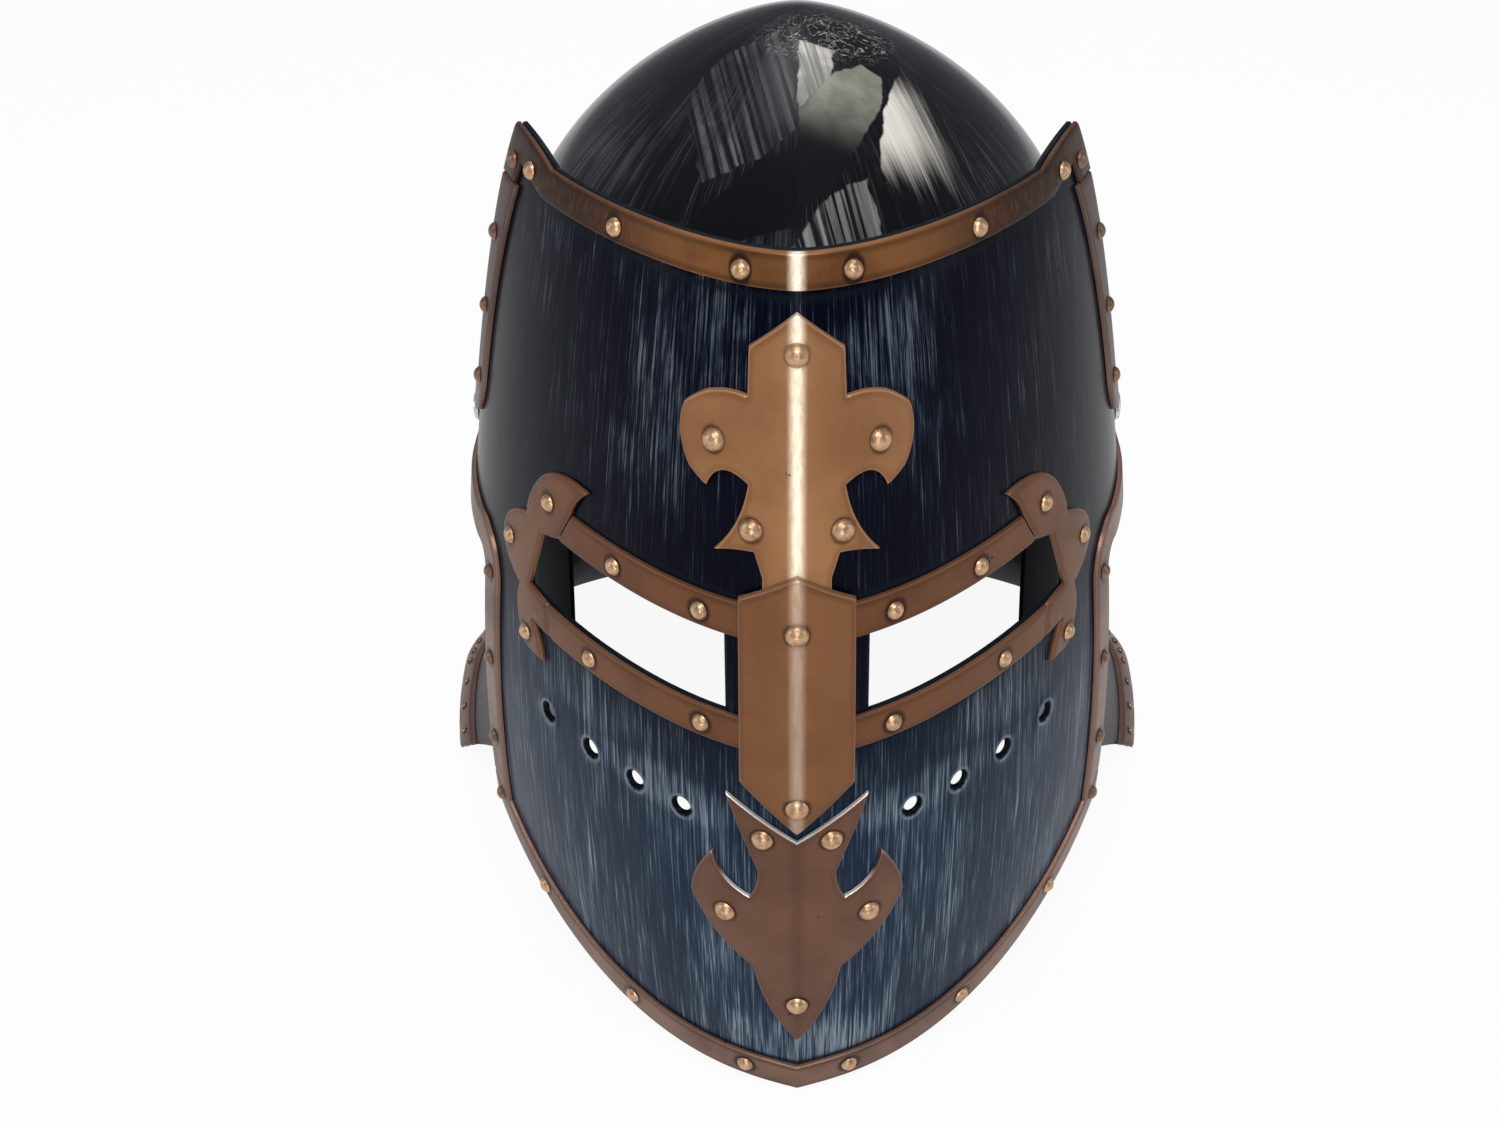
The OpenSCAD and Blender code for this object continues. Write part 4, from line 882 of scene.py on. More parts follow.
def inner_path(path, width):
    """The path moved to its right by the width, without the points that come nearer to it than that."""
    along = np.gradient(path, axis=0)
    normal = np.column_stack([along[:, 1], -along[:, 0]]) / np.linalg.norm(along, axis=1, keepdims=True)
    moved = path + width * normal
    there_and_back = np.vstack([path, path[::-1]])
    return moved[edge_distance(moved, [there_and_back]) > width - 0.06]


print("side outline:", len(SIDE), "points; ear touches at", np.round(SIDE[np.argmin(SIDE[:, 0])], 1))

# %% [markdown]
# ## The face plate
# The outline is closed with the chin edge in front view and a straight top edge. Eye slots, breathing
# holes and pivot holes are further loops. The breathing holes were punched from inside, so the steel
# stands up in a low lip round each. Short tubes at the ears carry the pivot screws.

# %% Face plate
SLOT_LOW, SLOT_HIGH, SLOT_INNER, SLOT_OUTER = 148.0, 172.5, 19.5, 78.5
BREATH_Z, BREATH_FIRST, BREATH_PITCH = 108.5, 32.8, 14.0
SCREW_HOLE, FACE_T, HOLE_POINTS = 3.06, 1.6, 44


def chin_run(rise, proud):
    """The chin edge, raised by rise, from the left cheek edge to the right one, unrolled."""
    x = np.linspace(0, 106, 1061)
    run = from_front(np.column_stack([x, chin_height(x) + rise]), proud)
    limit = from_side(np.column_stack([np.full(len(run), CHEEK), run[:, 1]]), proud)[:, 0]
    run = run[run[:, 0] <= limit][::12]
    end = from_side([(CHEEK, run[-1, 1])], proud)
    right = np.vstack([run, end])
    return np.vstack([(right * [-1, 1])[:0:-1], right])


def face_outline():
    """The whole outline, counter-clockwise from the left end of the chin edge."""
    chin = chin_run(0.0, 0.0)
    right = from_side(SIDE[SIDE[:, 0] <= HORN_ROOT], 0.0)
    right = right[right[:, 1] > chin[-1, 1] + 0.4]
    top = np.linspace(right[-1, 0], -right[-1, 0], 160)[1:-1]
    return np.vstack([chin, right, np.column_stack([top, np.full(len(top), FACE_TOP)]),
                      (right * [-1, 1])[::-1]])


def slot_loop(side):
    """An eye slot: upright at the nose, level above and below, slanted at its outer end."""
    points = [(SLOT_INNER, SLOT_LOW), (SLOT_OUTER, SLOT_LOW), (SLOT_OUTER, SLOT_LOW + 1.8),
              (SLOT_OUTER - 5.5, SLOT_HIGH - 2.2), (SLOT_OUTER - 7.5, SLOT_HIGH), (SLOT_INNER, SLOT_HIGH)]
    return from_front(dense(points, 1.2)) * [side, 1]


def ring(centre, radius):
    """A round hole about an unrolled point."""
    return arc(centre, radius, 0, 360 - 360 / HOLE_POINTS, HOLE_POINTS)


breaths = [from_front([(side * (BREATH_FIRST + number * BREATH_PITCH), BREATH_Z)])[0]
           for side in (-1, 1) for number in range(4)]
pivots = [from_side([EAR])[0] * [side, 1] for side in (-1, 1)]


def punched_lips(flat):
    """Each breathing hole is punched inwards: the steel dips in a bell curve at the hole's edge, inside a low
    raised ring, which is a second bell curve further out."""
    away = nearest(flat, breaths) - BREATH_RADIUS
    return 0.45 * np.exp(-((away - 1.5) / 0.7) ** 2) - 1.1 * np.exp(-(np.maximum(away, 0) / 0.7) ** 2)


face_loops = [face_outline(), slot_loop(1), slot_loop(-1)]
face_loops += [ring(centre, radius) for centres, radius in ((breaths, BREATH_RADIUS), (pivots, SCREW_HOLE))
               for centre in centres]
plate("face_sheet", face_loops, -FACE_T, 0.0, "face", ["face_plate"], spacing=3.0, radius=0.5,
      slot="blackened_steel", relief=punched_lips, holes=breaths)

# %% [markdown]
# ## Turned parts at the pivots
# A profile of radius and height, turned about the pivot axis, makes the ear's tubes and the leather discs
# that keep the face plate from swinging loosely. The discs are soft, so their rims are round.

# %% Ear tubes and leather discs
TURNED_POINTS = 64


def turned(name, side, profile, body, finish, replaced):
    """A closed profile of (x, radius) points turned about the pivot axis; x grows outwards from the middle."""
    profile, count = np.asarray(profile, float), TURNED_POINTS
    angle = np.linspace(0, 2 * math.pi, count, endpoint=False)
    points = np.stack([np.repeat(side * profile[:, :1], count, axis=1),
                       pivot_y + profile[:, 1:] * np.cos(angle),
                       pivot_z + profile[:, 1:] * np.sin(angle)], axis=-1).reshape(-1, 3)
    row, column = np.meshgrid(np.arange(len(profile)), np.arange(count), indexing="ij")
    a = (row * count + column).ravel()
    b = (row * count + (column + 1) % count).ravel()
    shift = count * len(profile)
    c, d = (b + count) % shift, (a + count) % shift
    triangles = np.vstack([np.column_stack([a, b, c]), np.column_stack([a, c, d])])
    if side < 0:
        triangles = triangles[:, ::-1]
    new_piece(name, points, triangles, body, finish, replaced)


EAR_OUT = float(through_levels(np.array(pivot_z), FACE_HALF_WIDTHS)) + 0.3
EAR_IN = EAR_OUT - 4.4
EAR_TUBE, DISC = 7.2, 6.5
DISC_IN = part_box("right_spacer")[0].x / MM
for side, word in ((-1, "left"), (1, "right")):
    turned(f"{word}_ear_tube", side, [(EAR_IN, SCREW_HOLE), (EAR_IN, EAR_TUBE), (EAR_OUT - 0.3, EAR_TUBE),
           (EAR_OUT, EAR_TUBE - 0.3), (EAR_OUT, SCREW_HOLE)], "visor", "face",
           ["face_plate"])
    low, high = DISC_IN, EAR_IN - 0.2
    turned(f"{word}_leather_disc", side, [(low, SCREW_HOLE), (low, DISC - 0.8), (low + 0.3, DISC - 0.2),
           (low + 0.9, DISC), (high - 0.9, DISC), (high - 0.3, DISC - 0.2), (high, DISC - 0.8),
           (high, SCREW_HOLE)], "skull", "leather", [f"{word}_spacer"])

# %% [markdown]
# ## Copper plates in front view
# The brow fleur-de-lis, the chin fleur-de-lis, the nasal guard, the bands along the slots and the ornament
# at the slots' ends are drawn in front view, each half from the centre line. Shallow arcs join the
# corners. Each plate is a single strip of copper, 1.5 mm thick, and the nasal guard lies over the others.

# %% Outlines of the ornament
PLATE_LOW, PLATE_HIGH = 0.2, 1.7
NASAL_LOW, NASAL_HIGH = 1.9, 3.9
BAND, BAND_START, SEAM = 10.0, 11.5, 0.3

brow_half = [[(0, 257.5), (12.2, 248.7)], bow((12.6, 237), (23, 236), 0.8), bow((23, 236), (29.2, 231.2), 0.3),
             bow((29.2, 231.2), (28.2, 215.8), 1.6, 12), bow((28.2, 215.8), (23.6, 212), 0.2, 4),
             bow((23.6, 212), (12.6, 215), -3.8, 20), bow((12.6, 215), (21.8, 195.6), -1.6, 16),
             bow((21.8, 195.6), (11.2, 197.6), -0.5), [(11.2, 197.6), (9.1, 191), (9.1, 186)]]
chin_half = [[(0, 108.2), (20, 121.3), (17, 111.5)], bow((11.3, 95.7), (13.8, 84.6), -0.8, 10),
             bow((13.8, 84.6), (24.2, 98), -2.6, 16), bow((24.2, 98), (31, 79.5), 1.4, 16),
             bow((31, 79.5), (13, 55.6), 2.4, 20), bow((13, 55.6), (0, 24), 2.2, 16), [(0, 24)]]
nasal_half = [[(0, 193), (15.6, 185), (16.0, 128.5), (0, 113)]]
eye_outline = np.vstack([
    bow((57.6, 192.6), (74.4, 184.2), 3.6, 16), bow((74.4, 184.2), (78.4, 172.2), 0.6),
    bow((78.4, 172.2), (87.6, 156.5), 2.6, 14), bow((87.6, 156.5), (82.5, 146.7), 1.3),
    bow((82.5, 146.7), (81.4, 126.8), 1.9, 14), bow((81.4, 126.8), (75.6, 126.9), -0.4, 4),
    bow((75.6, 126.9), (78.4, 138.8), 0.4), [(78.4, SLOT_LOW - BAND + 0.6), (73, SLOT_LOW - BAND),
    (73, SLOT_LOW), (78.9, SLOT_LOW + 1.5), (73.2, SLOT_HIGH - 2.5), (68, SLOT_HIGH)],
    bow((63.5, SLOT_HIGH + BAND), (57.6, 192.6), -0.8)])


def without_doubles(points):
    """Drops points that repeat the one before."""
    points = np.asarray(points, float)
    return points[np.linalg.norm(points - np.roll(points, 1, axis=0), axis=1) > 1e-6]


def front_loop(points, proud, side=1):
    """A closed outline in front view, unrolled."""
    return from_front(dense(without_doubles(points), 1.0), proud) * [side, 1]


brow_rivets = [(0, 248.2), (21.5, 224.4), (-21.5, 224.4), (12, 203.5), (-12, 203.5)]
chin_rivets = [(9.8, 108), (-9.8, 108), (21, 76.1), (-21, 76.1), (0, 41.3)]
nasal_rivets = [(0, 122.5), (0, 177.5)]
eye_rivets = [(70.4, 181.5), (85.0, 159), (81.2, 132), (50.5, SLOT_HIGH + BAND / 2 - 0.6),
              (26.2, SLOT_HIGH + BAND / 2 - 0.6), (59.3, SLOT_LOW - BAND / 2 - 0.6),
              (26.5, SLOT_LOW - BAND / 2 - 0.6)]

# %% Ornament plates
def ornament(name, points, rivets, finish, low=PLATE_LOW, high=PLATE_HIGH, side=1, **extra):
    """A plate from its outline in front view, mirrored where it belongs on the left."""
    plate(name + "_sheet", [front_loop(points, high, side)], low, high, finish, [name], spacing=2.2,
          rivets=from_front(np.asarray(rivets, float), high) * [side, 1], **extra)


ornament("brow_fleur", mirrored(brow_half), brow_rivets, "brow_copper")
ornament("chin_fleur", mirrored(chin_half), chin_rivets, "chin_copper")
ornament("nasal_guard", mirrored(nasal_half), nasal_rivets, "nasal_copper", NASAL_LOW, NASAL_HIGH, radius=0.8)
for side, word in ((-1, "left"), (1, "right")):
    ornament(f"{word}_eye_fleur", eye_outline, eye_rivets, "band_copper", side=side)
    for place, low, high, low_end, high_end in (("upper", SLOT_HIGH, SLOT_HIGH + BAND, 68, 63.5),
                                                ("lower", SLOT_LOW - BAND, SLOT_LOW, 73, 73)):
        corners = [(BAND_START, low), (low_end - SEAM, low), (high_end - SEAM, high), (BAND_START, high)]
        ornament(f"{word}_{place}_band", corners, eye_rivets, "band_copper", side=side)

# %% [markdown]
# ## Trims along the edges
# The trims follow the plate's edge in side view at a constant width, so each is the strip between the edge
# and the same edge moved inwards. The top trim ends below the horns, where the side trims begin, and the
# side trims end on the chin trim, with a hair of room between them.

# %% Trims
TRIM, TOP_TRIM = 10.5, 8.5
TOP_CUT = FACE_TOP - TOP_TRIM - 3.0
side_rivets = np.array([(CHEEK + TRIM / 2, 46.0), (CHEEK + TRIM / 2, 70.6), (CHEEK + TRIM / 2, 103.0),
                        (CHEEK + TRIM / 2 - 0.5, 136.1), (TEMPLE + TRIM / 2, 191.0),
                        (TEMPLE + TRIM / 2 + 0.4, 215.0), (TEMPLE + TRIM / 2 + 3, 240.0),
                        (TEMPLE + TRIM / 2 + 12, 266.0)])
top_rivets = [(14.2, 266.15), (47.4, 266.15), (72.6, 267.35)]
chin_trim_rivets = [(x, float(chin_height(x)) + TRIM / 2) for x in (16.2, 52.5, 82.5)]


def cut_to(path, low, high):
    """The stretch of a path between two heights, with end points exactly at those heights."""
    inside = np.flatnonzero((path[:, 1] > low) & (path[:, 1] < high))
    stretch = path[inside[0]:inside[-1] + 1]
    start = [np.interp(low, path[inside[0] - 1:inside[0] + 1, 1], path[inside[0] - 1:inside[0] + 1, 0]), low]
    if inside[-1] + 1 < len(path) and path[inside[-1] + 1, 1] >= high:
        pair = path[inside[-1]:inside[-1] + 2]
        return np.vstack([[start], stretch, [[np.interp(high, pair[:, 1], pair[:, 0]), high]]])
    return np.vstack([[start], stretch])


def lower_end(back, rise):
    """Height at which a chin edge that is raised by rise passes the upright line at that distance ahead."""
    z = np.linspace(20, 70, 501)
    t = np.interp(from_side(np.column_stack([np.full(len(z), back), z]), PLATE_HIGH)[:, 0], ARC, ANGLES)
    x = (through_levels(z, FACE_HALF_WIDTHS) + PLATE_HIGH) * np.sin(np.radians(t))
    return float(z[np.argmax(z > chin_height(x) + rise)])


def side_trim_loop(side):
    """The strip between the plate's side edge and the same edge moved inwards."""
    outer = cut_to(SIDE, lower_end(CHEEK, TRIM + SEAM), TOP_CUT - SEAM)
    inner = cut_to(inner_path(SIDE, TRIM), lower_end(CHEEK + TRIM, TRIM + SEAM), TOP_CUT - SEAM)
    return from_side(dense(np.vstack([outer, inner[::-1]]), 1.0), PLATE_HIGH) * [side, 1]


def from_height(path, low, reach):
    """The path from where it first passes a height, up to a distance ahead of the widest section."""
    first = np.argmax(path[:, 1] > low)
    pair = path[first - 1:first + 1]
    start = [[np.interp(low, pair[:, 1], pair[:, 0]), low]]
    return np.vstack([start, path[first:][path[first:, 0] <= reach]])


def top_trim_loop():
    """The right half of the strip in side view, closed across the front with its mirror image."""
    outer = from_height(SIDE, TOP_CUT, HORN_ROOT + 0.01)
    inner = from_height(inner_path(SIDE, TOP_TRIM), TOP_CUT, HORN_ROOT + 4)
    outer, inner = from_side(outer, PLATE_HIGH), from_side(inner, PLATE_HIGH)
    top = np.linspace(outer[-1, 0], -outer[-1, 0], 170)[1:-1]
    low = np.linspace(-inner[-1, 0], inner[-1, 0], 160)[1:-1]
    return np.vstack([outer, np.column_stack([top, np.full(len(top), FACE_TOP)]), (outer * [-1, 1])[::-1],
                      inner * [-1, 1], np.column_stack([low, np.full(len(low), FACE_TOP - TOP_TRIM)]),
                      inner[::-1]])


def chin_trim_loop():
    """The strip between the chin edge and the same edge raised by the trim's width."""
    low, high = chin_run(0.0, PLATE_HIGH), chin_run(TRIM, PLATE_HIGH)
    return dense(np.vstack([low, high[::-1]]), 1.2)


def both_sides(points):
    """Points on the right, and their mirror images on the left."""
    return np.vstack([points, points * [-1, 1]])


plate("top_trim_sheet", [top_trim_loop()], PLATE_LOW, PLATE_HIGH, "top_copper", ["top_trim"], spacing=2.2,
      rivets=both_sides(from_front(top_rivets, PLATE_HIGH)))
plate("chin_trim_sheet", [chin_trim_loop()], PLATE_LOW, PLATE_HIGH, "side_copper", ["chin_trim"], spacing=2.2,
      rivets=both_sides(from_front(chin_trim_rivets, PLATE_HIGH)))
for side, word in ((-1, "left"), (1, "right")):
    plate(f"{word}_side_trim_sheet", [side_trim_loop(side)], PLATE_LOW, PLATE_HIGH, "side_copper",
          [f"{word}_side_trim"], spacing=2.2, rivets=from_side(side_rivets, PLATE_HIGH) * [side, 1])

# %% [markdown]
# ## The skull
# The skull is raised from one sheet. Its front has the face plate's plan, so that the two run side by side
# when the face plate tips up, and its rear is rounder. It rises straight to the spring line and then closes
# to a low point. Below the brow it is cut away in front, with a round corner on each side. Columns of
# points start on that cut, and a second patch fills the wall behind the cheeks. Both share the points where
# they meet.

# %% Skull surface
SKULL_WIDTH, SKULL_FRONT, SKULL_REAR = 92.0, 128.0, 96.0
CROWN, SPRING, SKULL_LOW, SPREAD, SKULL_KEEL = 290.0, 165.0, 62.0, 3.0, 0.12
DOME_POWER, DOME_ROUND, SKULL_T = 2.9, 1.34, 1.6
BROW, CHEEK_EDGE, BROW_CORNER = 178.0, 42.0, 30.0


def skull_plan(t):
    """Depth of the skull's plan at angle t: the face plate's plan in front, a fuller curve behind."""
    cosine, sine = np.cos(np.radians(t)), np.abs(np.sin(np.radians(t)))
    return np.where(cosine >= 0, plan_depth(t), -(1 - SKULL_KEEL) * np.abs(cosine) - SKULL_KEEL * (1 - sine))


def skull_point(t, v, proud):
    """Skull at angle t and share v: -1 at the lower edge, 0 at the spring line, 1 at the crown."""
    plan, t, up = skull_plan(t), np.radians(t), np.clip(v, 0, 1)
    turn = np.radians(90 * up ** (DOME_POWER / 2))
    rise, close = np.sin(turn) ** (2 / DOME_POWER), np.clip(np.cos(turn), 0, 1) ** (2 / DOME_ROUND)
    z = SPRING + np.where(v > 0, (CROWN + proud - SPRING) * rise, np.minimum(v, 0) * (SPRING - SKULL_LOW))
    more = np.where(v > 0, proud * close, SPREAD * np.clip(-v, 0, 1) ** 1.5 + proud)
    depth = np.where(np.cos(t) > 0, SKULL_FRONT, SKULL_REAR) * close + more
    return np.stack([(SKULL_WIDTH * close + more) * np.sin(t), SKULL_Y - depth * plan, z], axis=-1)


def share_at(z):
    """The share v at which the skull has the height z."""
    z = np.asarray(z, float)
    rise = np.clip((z - SPRING) / (CROWN - SPRING), 0, 1)
    dome = (np.degrees(np.arcsin(rise ** (DOME_POWER / 2))) / 90) ** (2 / DOME_POWER)
    return np.where(z > SPRING, dome, (z - SPRING) / (SPRING - SKULL_LOW))


def turn_at(ahead, z):
    """The angle at which the skull lies that far ahead of the face plate's widest section, by halving."""
    low, high, v = np.zeros(np.shape(ahead)), np.full(np.shape(ahead), 90.0), share_at(z)
    for _ in range(40):
        middle = (low + high) / 2
        inside = WIDE_Y - skull_point(middle, v, 0.0)[..., 1] > ahead
        low, high = np.where(inside, middle, low), np.where(inside, high, middle)
    return low


# %% Skull mesh
def skull_grid():
    """Angles and shares of all columns of the upper patch, then of the wall behind the cheeks."""
    corner = np.radians(np.linspace(90, 0, 22))
    corner_z = BROW - BROW_CORNER + BROW_CORNER * np.sin(corner)
    corner_t = turn_at(CHEEK_EDGE + BROW_CORNER - BROW_CORNER * np.cos(corner), corner_z)
    front_t = np.concatenate([[0, 0.3, 0.7, 1.2], np.linspace(2.2, corner_t[0], 26)[:-1]])
    rear_share = np.linspace(0, 1, 90)
    rear_t = corner_t[-1] + (180 - corner_t[-1]) * rear_share[1:]
    half_t = np.concatenate([front_t, corner_t, rear_t])
    start_v = share_at(np.concatenate([np.full(len(front_t), BROW), corner_z,
                                       np.full(len(rear_t), BROW - BROW_CORNER)]))
    rows = np.linspace(0, 1, 110)[:, None]
    upper = (half_t + 0 * rows, start_v + (1 - start_v) * rows)
    wall_z = np.linspace(BROW - BROW_CORNER, SKULL_LOW, 36)
    cheek_t = turn_at(np.full(len(wall_z), CHEEK_EDGE), wall_z)[:, None]
    wall = (cheek_t + (180 - cheek_t) * rear_share, share_at(wall_z)[:, None] + 0 * rear_share)
    return upper, wall


def grid_triangles(rows, columns):
    """Two triangles for each cell of a grid of points."""
    r, c = np.meshgrid(np.arange(rows - 1), np.arange(columns - 1), indexing="ij")
    a = (r * columns + c).ravel()
    return np.vstack([np.column_stack([a, a + 1, a + columns + 1]),
                      np.column_stack([a, a + columns + 1, a + columns])])


def weld(points, triangles):
    """Joins points at the same place. Returns which points are kept, and the triangles between them without
    those that have closed up."""
    _, kept, which = np.unique(np.round(points, 3), axis=0, return_index=True, return_inverse=True)
    triangles = which.reshape(-1)[triangles]
    return kept, triangles[(triangles != np.roll(triangles, 1, axis=1)).all(axis=1)]


def skull():
    """Both patches on both sides, joined where they meet, with the inner face a wall further in."""
    angles, shares, triangles, shift = [], [], [], 0
    for (t, v), flip in zip(skull_grid(), (False, True)):
        for side in (1, -1):
            made = grid_triangles(*t.shape) + shift
            angles.append((side * t).ravel())
            shares.append(v.ravel())
            triangles.append(made if (side > 0) != flip else made[:, ::-1])
            shift += t.size
    angles, shares = np.concatenate(angles), np.concatenate(shares)
    outer = skull_point(angles, shares, 0.0)
    kept, triangles = weld(outer, np.vstack(triangles))
    count = len(triangles)
    points, triangles = closed_sheet(outer[kept], skull_point(angles, shares, -SKULL_T)[kept], triangles)
    new_piece("skull_sheet", points, triangles, "skull", "skull", ["skull_shell"],
              {"inside": np.repeat([0.0, 1.0], len(kept))}, (count, 2 * count))


skull()

# %% [markdown]
# ## Neck guard and its border
# The guard is a band of steel that starts upright on the skull, whose plan its collar takes over, and flares
# into a wide rim. The collar reaches further round towards the cheeks than the rim does. The border is a
# thicker strip with a rounded section, and small studs hold it. Both follow the formula of the flare.

# %% Neck guard
GUARD_HIGH, RIM_WIDTH, RIM_BACK, RIM_DEPTH, RIM_FRONT = 74.0, 129.5, 85.0, 74.0, 190.0
GUARD_T, COLLAR, FLARE_POWER, GUARD_END, COLLAR_WRAP = 1.4, 0.14, 1.5, 106.0, 20.0
BORDER_HIGH, BORDER_T, GAP = 8.0, 2.0, 0.2
GUARD_COLUMNS, GUARD_EDGE, DEGREE_MM = 361, 0.5, 2.2


def guard_point(t, s, proud):
    """Guard at angle t from the rear and share s, from its upper edge to the rim."""
    flare = (np.clip(s - COLLAR, 0, 1) / (1 - COLLAR)) ** FLARE_POWER
    t = t * (1 + COLLAR_WRAP / GUARD_END * (1 - flare) ** 2)
    rear = np.cos(np.radians(t)) > 0
    top = np.where(rear, SKULL_REAR, SKULL_FRONT) + SPREAD + GAP
    rim = np.where(rear, RIM_DEPTH, RIM_FRONT)
    x = ((SKULL_WIDTH + SPREAD + GAP) * (1 - flare) + RIM_WIDTH * flare + proud) * np.sin(np.radians(t))
    y = ((1 - flare) * (SKULL_Y - (top + proud) * skull_plan(180 - np.abs(t)))
         + flare * (WIDE_Y + RIM_BACK + (rim + proud) * np.cos(np.radians(t))))
    return np.stack([x, y, GUARD_HIGH * (1 - s)], axis=-1)


def guard_sheet(name, s0, s1, rows, low, high, finish, bulge=0.0):
    """A sheet of the guard between two shares, with a rounded section or rounded edges. DEGREE_MM is about
    how many millimetres one degree takes up along the rim."""
    t, s = np.meshgrid(np.linspace(GUARD_END, -GUARD_END, GUARD_COLUMNS), np.linspace(s0, s1, rows))
    edge = np.minimum(np.minimum(s - s0, s1 - s) * GUARD_HIGH, (GUARD_END - np.abs(t)) * DEGREE_MM)
    across = (s - s0) / (s1 - s0)
    top = high - rounded_drop(edge, GUARD_EDGE) - bulge * (1 - 4 * across * (1 - across))
    outer, inner = (guard_point(t, s, proud).reshape(-1, 3) for proud in (top, low))
    triangles = grid_triangles(rows, GUARD_COLUMNS)[:, ::-1]
    count = len(triangles)
    points, triangles = closed_sheet(outer, inner, triangles)
    new_piece(name + "_sheet", points, triangles, "skull", finish, [name],
              {"edge": np.tile(edge.ravel(), 2)}, (count, 2 * count))


guard_sheet("neck_guard", 0.0, 1.0, 61, 0.0, GUARD_T, "grey")
guard_sheet("neck_border", 1 - BORDER_HIGH / GUARD_HIGH, 1.0, 17, GUARD_T + GAP, GUARD_T + GAP + BORDER_T,
            "brown", bulge=0.5)

# %% [markdown]
# ## Leather inside
# A headband of thick leather goes round inside the skull, and six tongues reach up from it to hold the
# crown off the steel. They follow the skull's own formula, a few millimetres further in, and their edges
# are pared round. The tongues lean inwards in the middle, where a lace would draw their ends together.

# %% Headband and tongues
BAND_LOW, HEADBAND_HIGH, HEADBAND_T = 181.0, 21.0, 2.4
BAND_OFF = -SKULL_T - 0.4
TONGUES, TONGUE_T, TONGUE_GAP, TONGUE_WIDE, TONGUE_LONG = 6, 3.0, 0.6, 38.0, 110.0
# The tongues' lower and upper ends, as shares of the way up the dome, and how far they stay below the crown.
TONGUE_ENDS, TONGUE_BELOW = (1 / 14, 9 / 14), 8.0


def headband():
    """A ring of leather on the skull's inner face, its upper and lower edge pared round."""
    rows, columns = 15, 241
    t, z = np.meshgrid(np.linspace(0, 360, columns), np.linspace(BAND_LOW, BAND_LOW + HEADBAND_HIGH, rows))
    drop = rounded_drop(np.minimum(z - BAND_LOW, BAND_LOW + HEADBAND_HIGH - z), 1.0)
    outer, inner = (skull_point(t, share_at(z), proud).reshape(-1, 3)
                    for proud in (BAND_OFF - drop, BAND_OFF - HEADBAND_T + drop))
    kept, triangles = weld(outer, grid_triangles(rows, columns))
    points, triangles = closed_sheet(outer[kept], inner[kept], triangles)
    new_piece("headband_leather", points, triangles, "skull", "leather", ["headband"])


def tongue_point(t, v, proud):
    """Like skull_point above the spring line, with the same inward distance at every height."""
    turn = np.radians(90 * v ** (DOME_POWER / 2))
    rise, close = np.sin(turn) ** (2 / DOME_POWER), np.cos(turn) ** (2 / DOME_ROUND)
    plan, t = skull_plan(t), np.radians(t)
    depth = np.where(np.cos(t) > 0, SKULL_FRONT, SKULL_REAR) * close + proud
    z = SPRING + (CROWN - TONGUE_BELOW - SPRING) * rise
    return np.stack([(SKULL_WIDTH * close + proud) * np.sin(t), SKULL_Y - depth * plan, z], axis=-1)


def tongues():
    """Each tongue narrows upwards and leans in most about two fifths of the way up."""
    rows, columns = 50, 25
    across, v = np.meshgrid(np.linspace(-1, 1, columns), np.linspace(*TONGUE_ENDS, rows))
    up = np.linspace(0, 1, rows)[:, None]
    lean = 1 + 0.6 * np.sin(np.pi * np.minimum(up * 1.2, 1))
    half = 150 / TONGUES * (1 - 0.15 * up)
    edge = np.minimum((1 - np.abs(across)) * TONGUE_WIDE, np.minimum(up, 1 - up) * TONGUE_LONG)
    low, drop = BAND_OFF - HEADBAND_T - TONGUE_GAP, rounded_drop(edge, 1.2)
    everything, faces, shift = [], [], 0
    for number in range(TONGUES):
        t = 360 / TONGUES * (number + 0.5) + half * across
        outer, inner = (tongue_point(t, v, proud * lean).reshape(-1, 3)
                        for proud in (low - drop, low - TONGUE_T + drop))
        points, triangles = closed_sheet(outer, inner, grid_triangles(rows, columns))
        everything.append(points)
        faces.append(triangles + shift)
        shift += len(points)
    new_piece("crown_liner_leather", np.vstack(everything), np.vstack(faces), "skull", "leather",
              ["crown_liner"])


headband()
tongues()

# %% [markdown]
# ## Studio
# The helm stands on a white sheet under soft light. The metals show what they reflect, so the light is
# shaped for them: a large soft box high in front, a narrow strip in front that draws a line down the keel,
# one box on each side and one behind, with a darker room between them. The floor is bright enough to fill
# the chin from below, as the white table does in the photograph.

# %% Floor and lights
FLOOR_REACH, FLOOR_DROP, SHEET_GLOW = 4.0, 0.0003, 0.93
LAMP_AIM = Vector((0, -0.03, 0.14))
# Where each soft box stands, its size, both in metres, and its power in watts
LAMPS = {
    "front_strip": ((0.0, -1.2, 0.42), (0.07, 0.9), 3.2),
    "key": ((0.0, -0.7, 1.45), (0.8, 0.6), 11),
    "side_left": ((-1.5, -0.3, 0.7), (0.6, 1.0), 3.5),
    "side_right": ((1.5, -0.3, 0.7), (0.6, 1.0), 3.5),
    "back": ((0.0, 0.7, 1.4), (0.9, 0.5), 4),
}
ROOM_COLOUR, ROOM_STRENGTH = (0.9, 0.93, 1.0, 1), 0.35


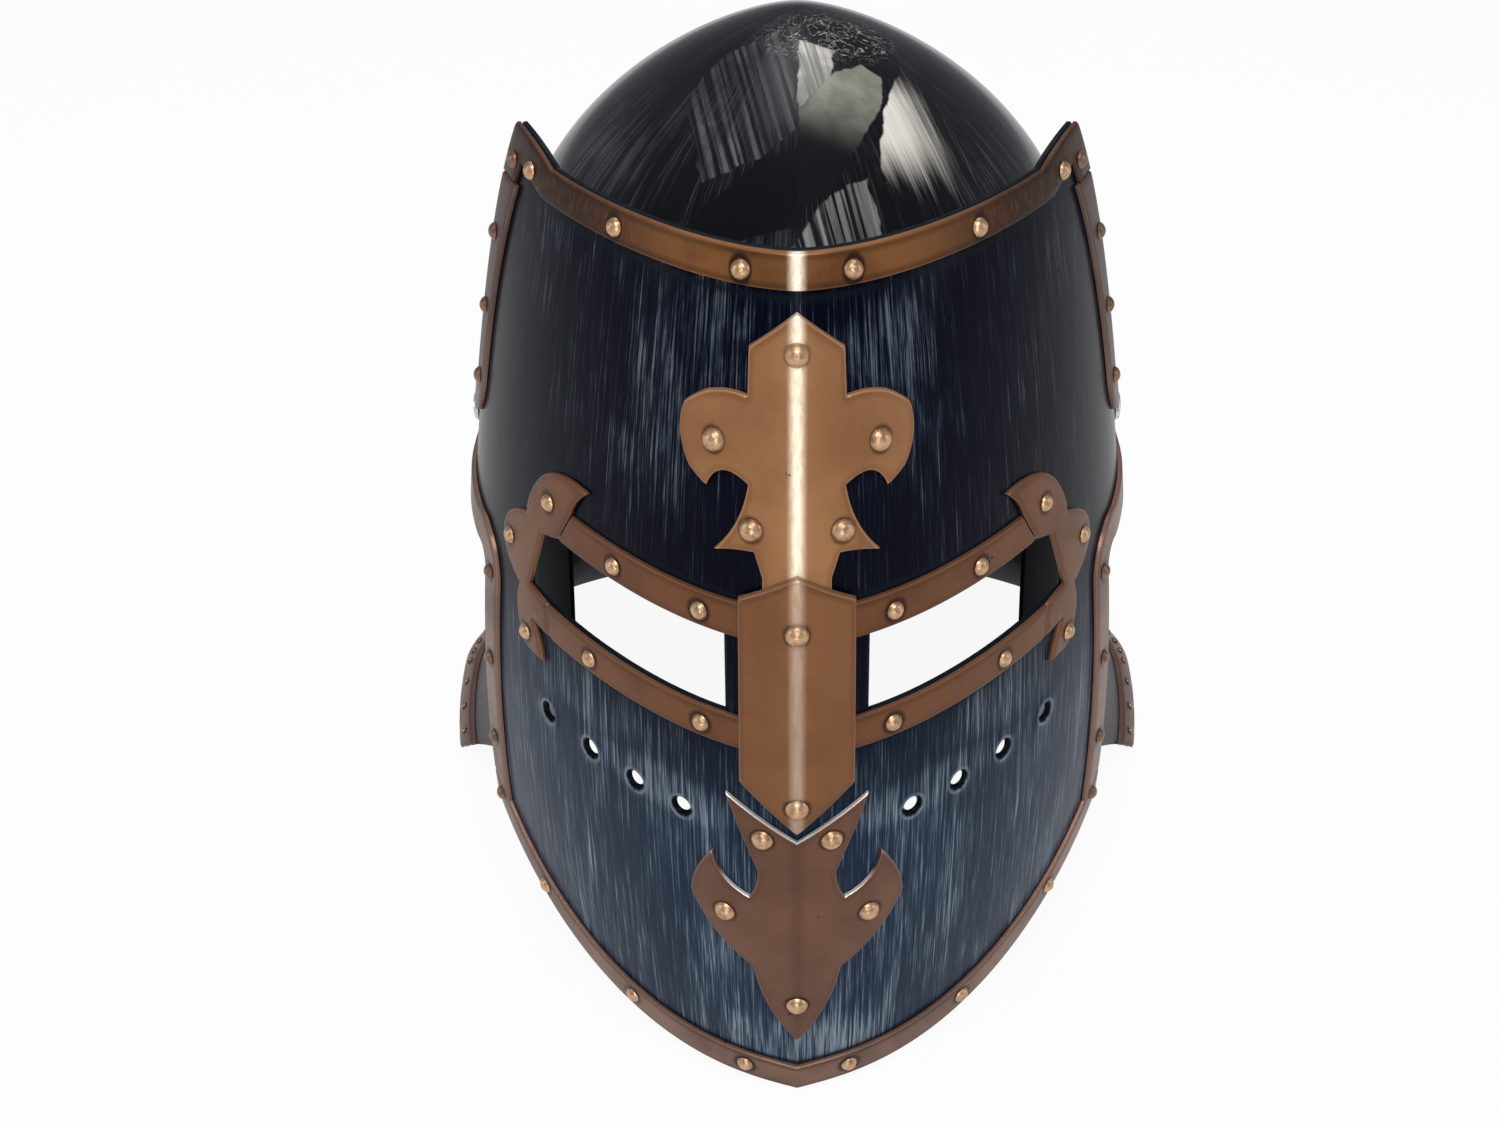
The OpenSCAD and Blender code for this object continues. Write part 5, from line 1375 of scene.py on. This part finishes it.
def white_sheet():
    """A matt white sheet. What the camera or a mirror sees of it is almost all its own glow, so it stays
    white where the light falls off and in the shadow of the helm."""
    paint = Paint("white_sheet")
    paint.finish(paint.mix(paint.noise(300), (0.86, 0.86, 0.86), (0.85, 0.85, 0.85)), 0.0, 0.9)
    path = paint.nodes.new("ShaderNodeLightPath").outputs
    seen = paint.most(path["Is Camera Ray"], path["Is Glossy Ray"], path["Is Transmission Ray"])
    glow = paint.nodes.new("ShaderNodeEmission")
    both = paint.nodes.new("ShaderNodeMixShader")
    paint.plug(paint.times(seen, SHEET_GLOW), both.inputs[0])
    paint.links.new(paint.shader.outputs[0], both.inputs[1])
    paint.links.new(glow.outputs[0], both.inputs[2])
    paint.links.new(both.outputs[0], paint.nodes["Material Output"].inputs["Surface"])
    return paint.material


def soft_box(name, place, size, watts):
    """A rectangular lamp at a place, turned towards the helm."""
    data = bpy.data.lights.new(name, "AREA")
    data.shape = "RECTANGLE"
    data.size, data.size_y = size
    data.energy = watts
    lamp = bpy.data.objects.new(name, data)
    lamp.location = place
    lamp.rotation_euler = (Vector(place) - LAMP_AIM).to_track_quat("Z", "Y").to_euler()
    bpy.context.scene.collection.objects.link(lamp)


floor_mesh = bpy.data.meshes.new("floor")
floor_mesh.from_pydata([(across * FLOOR_REACH, along * FLOOR_REACH, 0)
                        for across, along in ((-1, -1), (1, -1), (1, 1), (-1, 1))], [], [(0, 1, 2, 3)])
floor_mesh.materials.append(white_sheet())
floor = bpy.data.objects.new("floor", floor_mesh)
floor.location = (0, 0, -FLOOR_DROP)
bpy.context.scene.collection.objects.link(floor)
for name, lamp in LAMPS.items():
    soft_box(name, *lamp)
world = bpy.data.worlds.new("room")
world.use_nodes = True
background = world.node_tree.nodes["Background"].inputs
background["Color"].default_value = ROOM_COLOUR
background["Strength"].default_value = ROOM_STRENGTH
bpy.context.scene.world = world

# %% [markdown]
# ## Finishes for the pieces that stay as built
# Rivets, studs, screws, washers and nuts are turned parts, and their construction solids are already true
# rounds. They keep their shapes and only get their finish, the side trims' rivets a darker copper. The
# construction solids under the sheets get the finish of their sheet.

# %% Finishes of the small parts
SMALL_PARTS = {
    "rivet": ["top_trim_rivets", "chin_trim_rivets", "brow_fleur_rivets", "nasal_rivets", "chin_fleur_rivets",
              "left_eye_rivets", "right_eye_rivets"],
    "side_rivet": ["left_side_rivets", "right_side_rivets"],
    "stud": ["border_studs"],
    "grey": ["neck_rivets"],
    "black": ["liner_rivets", "left_outer_washer", "right_outer_washer"],
    "silver": ["left_pivot_screw", "right_pivot_screw", "left_pivot_nut", "right_pivot_nut"],
    "leather": ["left_spacer", "right_spacer"],
}
SHEETS = {"top_copper": ["top_trim"], "side_copper": ["left_side_trim", "right_side_trim", "chin_trim"],
          "brow_copper": ["brow_fleur"], "nasal_copper": ["nasal_guard"], "chin_copper": ["chin_fleur"],
          "band_copper": ["left_upper_band", "right_upper_band", "left_lower_band", "right_lower_band",
                          "left_eye_fleur", "right_eye_fleur"],
          "skull": ["skull_shell"], "grey": ["neck_guard"], "brown": ["neck_border"],
          "leather": ["headband", "crown_liner"], "face": ["face_plate"]}
for finish, nodes in [*SMALL_PARTS.items(), *SHEETS.items()]:
    for node in nodes:
        mesh = frame["nodes"][node].data
        mesh.materials.clear()
        mesh.materials.append(finishes[finish])
print("small parts finished:", sum(len(nodes) for nodes in SMALL_PARTS.values()))
